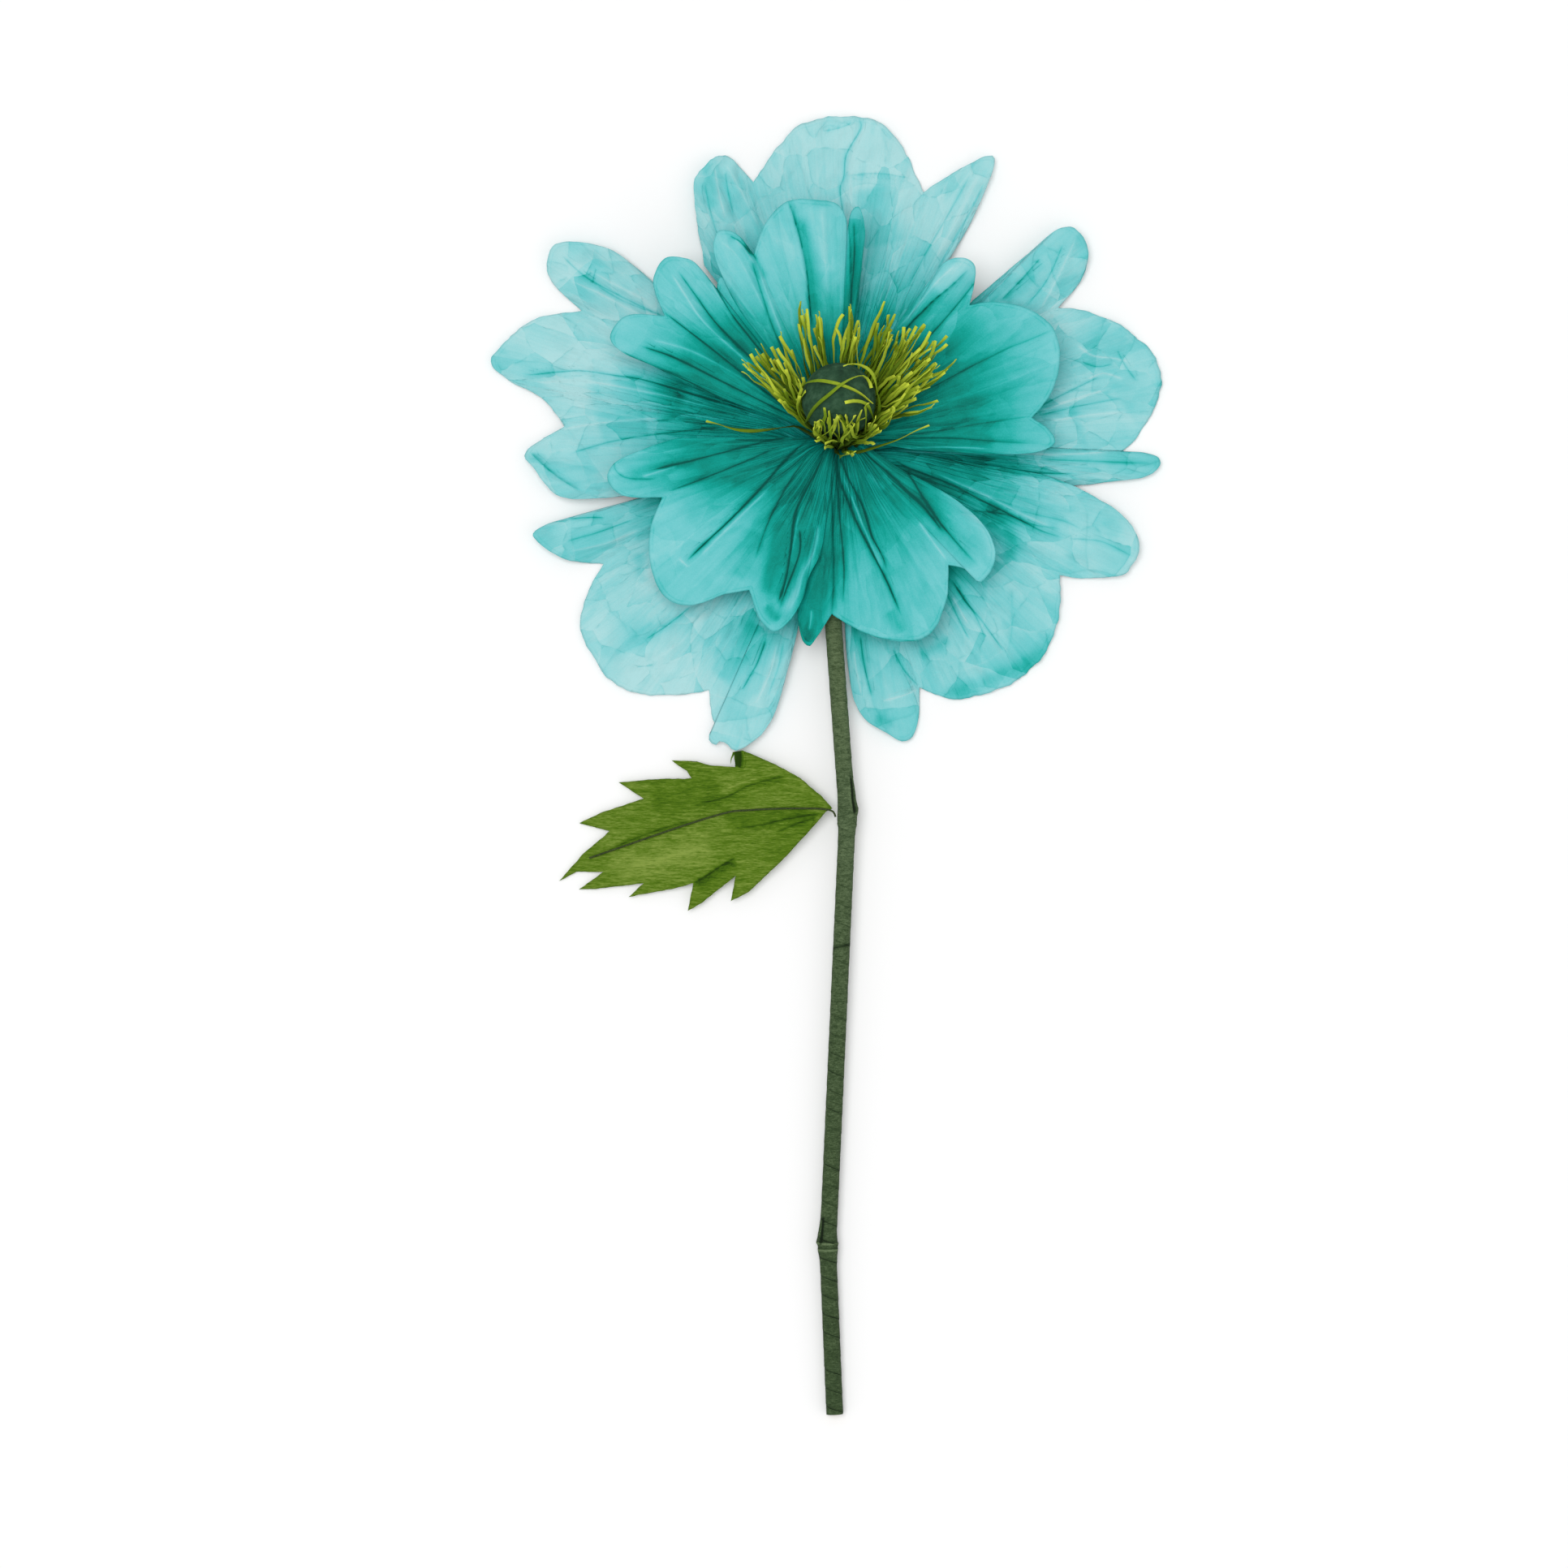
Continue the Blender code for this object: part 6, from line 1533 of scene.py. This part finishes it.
leafLower = [(171, -40), (160, -34), (143.5, -34), (158.5, -45), (148, -44.5), (118.5, -41), (128, -49.5),
             (101, -44.5), (88, -41), (91.5, -58), (83.5, -53.5), (62, -36.5), (65, -52), (54, -46.5),
             (31, -24.5), (11, -2.5), (6.5, 3), (2.5, 5)]
# Creases on the leaf, as for the petals: the darkening along valleys and the fold, the dark band along the midrib and
# the thin dark band beside the folded tooth are painted shade, the lightening along ridges is painted highlight, and
# the broad bands make strips darker or lighter.
leafCreases = [
    ("valley", 3, 0.5, 0.15, [(972, 956), (947, 961), (920, 969), (895, 982), (850, 993)]),
    ("ridge", 2, 0.3, -0.08, [(968, 952), (940, 957), (910, 966), (885, 978)]),
    ("valley", 2, 0.4, 0.18, [(1014, 1002), (975, 1008), (935, 1017), (900, 1022)]),
    ("valley", 2, 0.5, 0.18, [(1008, 1006), (985, 1014), (955, 1026)]),
    ("fold", 4, 0.8, 0.22, [(906, 1057), (890, 1066), (872, 1078), (852, 1090)]),
    ("valley", 2, 0.5, 0.14, [(850, 1012), (820, 1020), (780, 1034), (745, 1050)]),
    ("ridge", 2, 0.5, -0.12, [(860, 1046), (830, 1054), (800, 1064), (770, 1070)]),
    ("band", 24, 0, -0.07, [(745, 1066), (790, 1062), (840, 1052), (885, 1040)]),
    ("band", 22, 0, 0.07, [(800, 992), (840, 980), (890, 968)]),
    ("band", 16, 0, 0.04, [(1005, 1018), (975, 1040), (940, 1066)]),
    ("band", 8, 0, 0.08, [(1000, 1004), (940, 1006), (890, 1012)]),
    ("band", 3.5, 0, 0.42, [(907, 922), (908, 934), (908, 946)]),
    ("valley", 1.5, 0.4, 0.40, [(912, 924), (912, 936), (911, 948)])]
leafRib = [(9, 4.8), (19, 5.1), (37, 4.9), (54, 4), (67.5, 2.5), (92.5, -5), (124.5, -16), (152, -25.5)]


def leafBase():
    reach = cane["wrap"] + 0.0003 + cane["swell"] + 0.0003
    return canePoint(cane["lengths"][0] + cane["lengths"][1]) - Vector((reach, 0, 0))


def ribAside(along):
    knots = np.array(leafRib) * 0.001
    return float(np.interp(along, knots[:, 0], knots[:, 1]))


def leafHeight(along, aside):
    look = leafLook
    share = min(1.0, max(0.0, along / 0.171))
    away = abs(aside - ribAside(along))
    base = leafBase().z - look["wire"]
    height = look["tipHeight"] + holder[2] + (base - look["tipHeight"]) * (1 - share) ** look["arch"]
    height -= look["droop"] * away * (1 - share)
    height = max(look["tipHeight"], height)
    wave = math.sin((along + away * look["slant"]) * 2 * math.pi / look["veinSpacing"])
    vein = look["vein"] * wave * float(smooth(away / look["foldWidth"]))
    spot = Vector((along, aside, 0.3)) / look["cell"]
    near, second = noise.voronoi(spot + noise.noise_vector(spot) * 0.4)[0][:2]
    ribs = math.sin((aside - ribAside(along)) * 2 * math.pi / look["ribSpacing"] + 2 * noise.noise(spot * 0.7))
    crumple = look["crumple"] * (second - near - 0.3) * float(smooth(away / 0.006))
    return (height + vein * (1 - share) + look["vein"] * share + look["ribs"] * ribs
            + max(0.0, crumple + 0.0002))


def denseLine(points, step):
    line = []
    for (x0, y0), (x1, y1) in zip(points, points[1:]):
        count = max(1, round(math.hypot(x1 - x0, y1 - y0) / step))
        line += [(x0 + (x1 - x0) * k / count, y0 + (y1 - y0) * k / count) for k in range(count)]
    return line


def buildLeaf(material):
    look = leafLook
    edge = denseLine([(x * 0.001, y * 0.001) for x, y in leafUpper + leafLower[1:]], look["edgeStep"])
    jagged = []
    for x, y in edge:
        shift = noise.noise_vector(Vector((x, y, 0)) * 300) * 0.0003
        jagged.append(Vector((x + shift.x, y + shift.y)))
    draw = random.Random(9)
    outline = np.array([tuple(p) for p in jagged])
    grid = [(i * look["grid"] + draw.uniform(-0.2, 0.2) * look["grid"],
             j * look["grid"] - 0.062 + draw.uniform(-0.2, 0.2) * look["grid"])
            for i in range(round(0.18 / look["grid"])) for j in range(round(0.11 / look["grid"]))]
    grid = np.array(grid)
    grid = grid[insideShare(grid[:, 0], grid[:, 1], outline) > 0.5]
    gaps = [np.min(np.hypot(*(outline - spot).T)) for spot in grid]
    inside = [Vector(spot) for spot, gap in zip(grid, gaps) if gap > look["grid"] * 0.5]
    flat, _, triangles, _, _, _ = delaunay_2d_cdt(jagged + inside, [], [list(range(len(jagged)))], 1, 1e-7)
    base = leafBase()
    heights = [leafHeight(p.x, p.y) for p in flat]
    half = look["thickness"] / 2
    corners = [(base.x - p.x, base.y + p.y, h + half) for p, h in zip(flat, heights)]
    corners += [(base.x - p.x, base.y + p.y, h - half) for p, h in zip(flat, heights)]
    count = len(flat)
    faces, sides = [], {}
    for a, b, c in triangles:
        faces.append((a, c, b))
        faces.append((count + a, count + b, count + c))
        for pair in ((a, b), (b, c), (c, a)):
            sides[pair] = True
    for a, b in sides:
        if (b, a) not in sides:
            faces.append((a, b, count + b, count + a))
    px, py = inPicture(np.array(corners[:count]))
    lift, tone = creaseField(px, py, leafCreases)
    corners = [(x, y, z + rise) for (x, y, z), rise in zip(corners, np.tile(np.maximum(lift, -0.0002), 2))]
    own = {"tone": np.tile(tone, 2)}
    for k, (way, ink) in enumerate(lineLayers(px, py, leafCreases)):
        own["way%d" % k] = np.tile(way, 2)
        own["ink%d" % k] = np.tile(ink, 2)
    uv = np.array([(p.x * 10, p.y * 10) for p in flat] * 2)
    return meshPiece("leaf_paper", corners, faces, material, ["leaf_blade"], own, uv)


def buildLeafWire(material):
    look = leafLook
    lift = look["thickness"] / 2 + 0.0009 + look["wire"]
    base = leafBase()
    way = [base + Vector((-look["wire"], 0, 0)),
           Vector((base.x - 0.0025, base.y + 0.0034, leafHeight(0.0025, 0.0034) + lift))]
    way += [Vector((base.x - x * 0.001, base.y + y * 0.001, leafHeight(x * 0.001, y * 0.001) + lift))
            for x, y in leafRib]
    places = [Vector(p) for p in evenCurve([tuple(p) for p in way], 90)]
    mesh = bpy.data.meshes.new("leaf_rib")
    mesh.from_pydata([tuple(p) for p in places], [(k, k + 1) for k in range(len(places) - 1)], [])
    for key, number in (("girth", 1.0), ("spin", 0.0)):
        mesh.attributes.new(key, "FLOAT", "POINT").data.foreach_set("value", np.full(len(places), number, np.float32))
    item = bpy.data.objects.new("leaf_rib", mesh)
    bpy.context.collection.objects.link(item)
    runNodes(item, bpy.data.node_groups["twisted_strands"],
             {"Width": 2 * look["wire"], "Flatness": 1.0, "Sides": 14, "Material": material})
    finishPiece(item, ["leaf_wire"])


def woundLines(tree):
    """Painted shade along the edges where the strip laps over itself, painted shade in the slits beside the bud stubs
    with a painted highlight on their lips, and painted highlights on the ridges at the nodes with painted shade just
    past them.
    """
    distance = attribute(tree, "distance")
    parts = addNode(tree, "ShaderNodeSeparateXYZ")
    tree.links.new(addNode(tree, "ShaderNodeAttribute", attribute_name="outward").outputs["Vector"],
                   parts.inputs["Vector"])
    angle = mathNode(tree, "ARCTAN2", parts.outputs["Z"], parts.outputs["X"])
    turns = mathNode(tree, "SUBTRACT", mathNode(tree, "DIVIDE", distance, wrapLook["pitch"]),
                     mathNode(tree, "DIVIDE", angle, 2 * math.pi))
    turn = mathNode(tree, "FRACT", turns)
    shown = addNode(tree, "ShaderNodeTexNoise", noise_dimensions="1D")
    shown.inputs["Scale"].default_value = 1.9
    tree.links.new(turns, shown.inputs["W"])
    shown = easing(tree, shown.outputs["Fac"], 0.40, 0.58, 0.1, 1.0)
    # Painted shade along the lap edges.
    lap = mathNode(tree, "MULTIPLY", thinLine(tree, turn, 0.02, 26.0), shown)
    lap = mathNode(tree, "MULTIPLY", lap, easing(tree, distance, 0.12, 0.36, 1.0, 0.2))
    parts = [(lap, -0.34), (easing(tree, distance, 0.0, 0.55, 0.0, 1.0), 0.12)]
    for stub in budStubs:
        window = mathNode(tree, "MULTIPLY", easing(tree, distance, stub["at"] + 0.001, stub["at"] + 0.004, 0.0, 1.0),
                          easing(tree, distance, stub["at"] + 0.8 * stub["length"], stub["at"] + stub["length"], 1.0, 0.0))
        # Painted shade in the slit and a painted highlight on its lip.
        slit = mathNode(tree, "MULTIPLY", thinLine(tree, angle, stub["slit"], 9.0), window)
        lip = mathNode(tree, "MULTIPLY", thinLine(tree, angle, stub["slit"] + 0.28, 9.0), window)
        parts += [(slit, -0.9), (lip, 0.15)]
    for at, offsets in nodeRidges.items():
        # A painted highlight on each node ridge and painted shade just past it.
        shine = 0.36 if at < 0.2 else 0.05
        parts += [(thinLine(tree, distance, at + offset, 2000.0), shine) for offset in offsets]
        parts += [(thinLine(tree, distance, at + offset + 0.0012, 2000.0), -0.5 * shine) for offset in offsets]
    slanted = total(tree, [(distance, 1.0), (angle, 0.0012)])
    parts.append((thinLine(tree, slanted, 0.2904, 1600.0), -0.35))
    return total(tree, parts), lap


def crepeMaterial(name, stops, size, depth, stretch=None, drawn=None):
    """Crepe paper: mottled colour and fine crinkles, drawn out along one direction for the leaf, with
    lines that are drawn into it as painted shade and painted highlight: the stem's lap edges, slits
    and node ridges, and the leaf's creases."""
    material, tree, shader = newMaterial(name, 0.8)
    coordinates = addNode(tree, "ShaderNodeTexCoord").outputs["UV" if drawn == "creased" else "Object"]
    mottle = noiseNode(tree, coordinates, size * 0.12, 5.0, 0.65, stretch).outputs["Fac"]
    middle = noiseNode(tree, coordinates, size * 0.35, 3.0, 0.6, stretch).outputs["Fac"]
    fine = noiseNode(tree, coordinates, size, 3.0, 0.6, stretch).outputs["Fac"]
    parts = [(mottle, 0.30), (middle, 0.42), (fine, 0.42)]
    bumps = [(mottle, 0.4, depth * 2), (middle, 0.4, depth), (fine, 0.5, depth)]
    if drawn == "wound":
        level, lap = woundLines(tree)
        parts.append((level, 1.0))
        bumps.append((mathNode(tree, "MULTIPLY", lap, -1.0), 0.5, 0.0003))
    # The leaf's creases: painted shade along valleys and the fold, painted highlight along ridges.
    if drawn == "creased":
        lines = total(tree, [(mathNode(tree, "MULTIPLY", thinLine(tree, attribute(tree, "way%d" % k), 0.0, 1.0),
                                       attribute(tree, "ink%d" % k)), 1.0) for k in range(lineLook["layers"])])
        parts += [(lines, -1.0), (attribute(tree, "tone"), -1.0)]
        bumps.append((mathNode(tree, "MULTIPLY", lines, -1.0), 0.8, 0.0010))
    ramp = rampNode(tree, stops)
    tree.links.new(total(tree, parts), ramp.inputs["Fac"])
    link(tree, ramp, "Color", shader, "Base Color")
    bumpChain(tree, shader, bumps)
    return material


def bambooMaterial():
    material, tree, shader = newMaterial("bamboo_wood", 0.55)
    coordinates = addNode(tree, "ShaderNodeTexCoord").outputs["Object"]
    fibres = noiseNode(tree, coordinates, 60.0, 4.0, 0.6, (12.0, 0.6, 12.0))
    ramp = rampNode(tree, [(0.3, paint(150, 122, 70)), (0.7, paint(206, 180, 122))])
    link(tree, fibres, "Fac", ramp, "Fac")
    link(tree, ramp, "Color", shader, "Base Color")
    bumpChain(tree, shader, [(fibres.outputs["Fac"], 0.4, 0.0003)])
    return material


def wireMaterial(name, dark, light, roughness, size):
    material, tree, shader = newMaterial(name, roughness)
    coordinates = addNode(tree, "ShaderNodeTexCoord").outputs["Object"]
    spots = noiseNode(tree, coordinates, size, 3.0, 0.6)
    ramp = rampNode(tree, [(0.3, dark), (0.7, light)])
    link(tree, spots, "Fac", ramp, "Fac")
    link(tree, ramp, "Color", shader, "Base Color")
    bumpChain(tree, shader, [(spots.outputs["Fac"], 0.3, 0.0002)])
    return material


def foamMaterial():
    material, tree, shader = newMaterial("foam_beads", 0.9)
    coordinates = addNode(tree, "ShaderNodeTexCoord").outputs["Object"]
    beads = addNode(tree, "ShaderNodeTexVoronoi")
    beads.inputs["Scale"].default_value = 420.0
    tree.links.new(coordinates, beads.inputs["Vector"])
    ramp = rampNode(tree, [(0.0, paint(244, 244, 240)), (0.6, paint(226, 226, 220))])
    link(tree, beads, "Distance", ramp, "Fac")
    link(tree, ramp, "Color", shader, "Base Color")
    bumpChain(tree, shader, [(beads.outputs["Distance"], 0.5, 0.0004)])
    return material


def repaint(node, material):
    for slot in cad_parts[node].material_slots:
        slot.material = material


stemStops = [(0.25, paint(18, 31, 14)), (0.44, paint(40, 56, 32)), (0.58, paint(56, 74, 45)), (0.78, paint(98, 116, 82))]
stemPaper = crepeMaterial("stem_crepe", stemStops, 2200.0, 0.00022, (0.5, 1.5, 0.5), "wound")
neckPaper = crepeMaterial("neck_crepe", stemStops, 2200.0, 0.00022)
leafPaper = crepeMaterial("leaf_crepe", [(0.26, paint(34, 60, 2)), (0.42, paint(60, 94, 6)), (0.54, paint(84, 116, 18)),
                                         (0.72, paint(132, 154, 66))],
                          36.0, 0.0008, (0.9, 7.0, 1.0), "creased")
buildWrap(stemPaper)
buildTape(neckPaper)
buildLeaf(leafPaper)
buildLeafWire(wireMaterial("covered_wire", paint(38, 50, 26), paint(70, 84, 44), 0.7, 900.0))
repaint("bamboo_cane", bambooMaterial())
repaint("neck_wire", wireMaterial("steel_wire", paint(88, 90, 92), paint(126, 128, 130), 0.4, 500.0))
repaint("ball_core", foamMaterial())
print("stem and leaf")


# Stage: white floor and backdrop, two soft far lamps, camera straight above

stageLook = {"floor": 9.0, "world": 0.50, "key": 1.62, "keySoft": 0.66, "keyPlace": (-0.42, 0.32, 2.6),
             "fill": 0.30, "fillSoft": 1.1, "fillPlace": (1.2, -0.8, 1.8)}


def makeLamp(name, place, softness, power):
    lamp = bpy.data.lights.new(name, "SUN")
    lamp.angle = softness
    lamp.energy = power
    item = bpy.data.objects.new(name, lamp)
    item.location = place
    item.rotation_euler = (Vector((0, 0.1, 0)) - Vector(place)).to_track_quat("-Z", "Y").to_euler()
    bpy.context.collection.objects.link(item)
    return item


def makeFloor():
    half = stageLook["floor"] / 2
    mesh = bpy.data.meshes.new("floor")
    mesh.from_pydata([(-half, -half, 0), (half, -half, 0), (half, half, 0), (-half, half, 0)], [], [(0, 1, 2, 3)])
    material, tree, shader = newMaterial("floor_white", 0.9)
    shader.inputs["Base Color"].default_value = (0.95, 0.95, 0.95, 1)
    mesh.materials.append(material)
    floor = bpy.data.objects.new("floor", mesh)
    bpy.context.collection.objects.link(floor)
    return floor


def makeWorld():
    world = bpy.data.worlds.new("backdrop")
    bpy.context.scene.world = world
    world.use_nodes = True
    tree = world.node_tree
    background = tree.nodes["Background"]
    background.inputs["Color"].default_value = (1, 1, 1, 1)
    path = addNode(tree, "ShaderNodeLightPath")
    lit = addNode(tree, "ShaderNodeMix")
    lit.inputs["A"].default_value = stageLook["world"]
    lit.inputs["B"].default_value = 1.0
    tree.links.new(path.outputs["Is Camera Ray"], lit.inputs["Factor"])
    tree.links.new(lit.outputs["Result"], background.inputs["Strength"])


def makeCamera():
    data = bpy.data.cameras.new("camera")
    data.lens = view["lens"]
    data.sensor_width = view["sensor"]
    data.clip_end = 30
    camera = bpy.data.objects.new("camera", data)
    camera.location = (view["x"], view["y"], view["height"])
    bpy.context.collection.objects.link(camera)
    bpy.context.scene.camera = camera


makeWorld()
makeCamera()
key = makeLamp("key", stageLook["keyPlace"], stageLook["keySoft"], stageLook["key"])
fill = makeLamp("fill", stageLook["fillPlace"], stageLook["fillSoft"], stageLook["fill"])
makeFloor()
bpy.context.scene.view_settings.view_transform = "Standard"
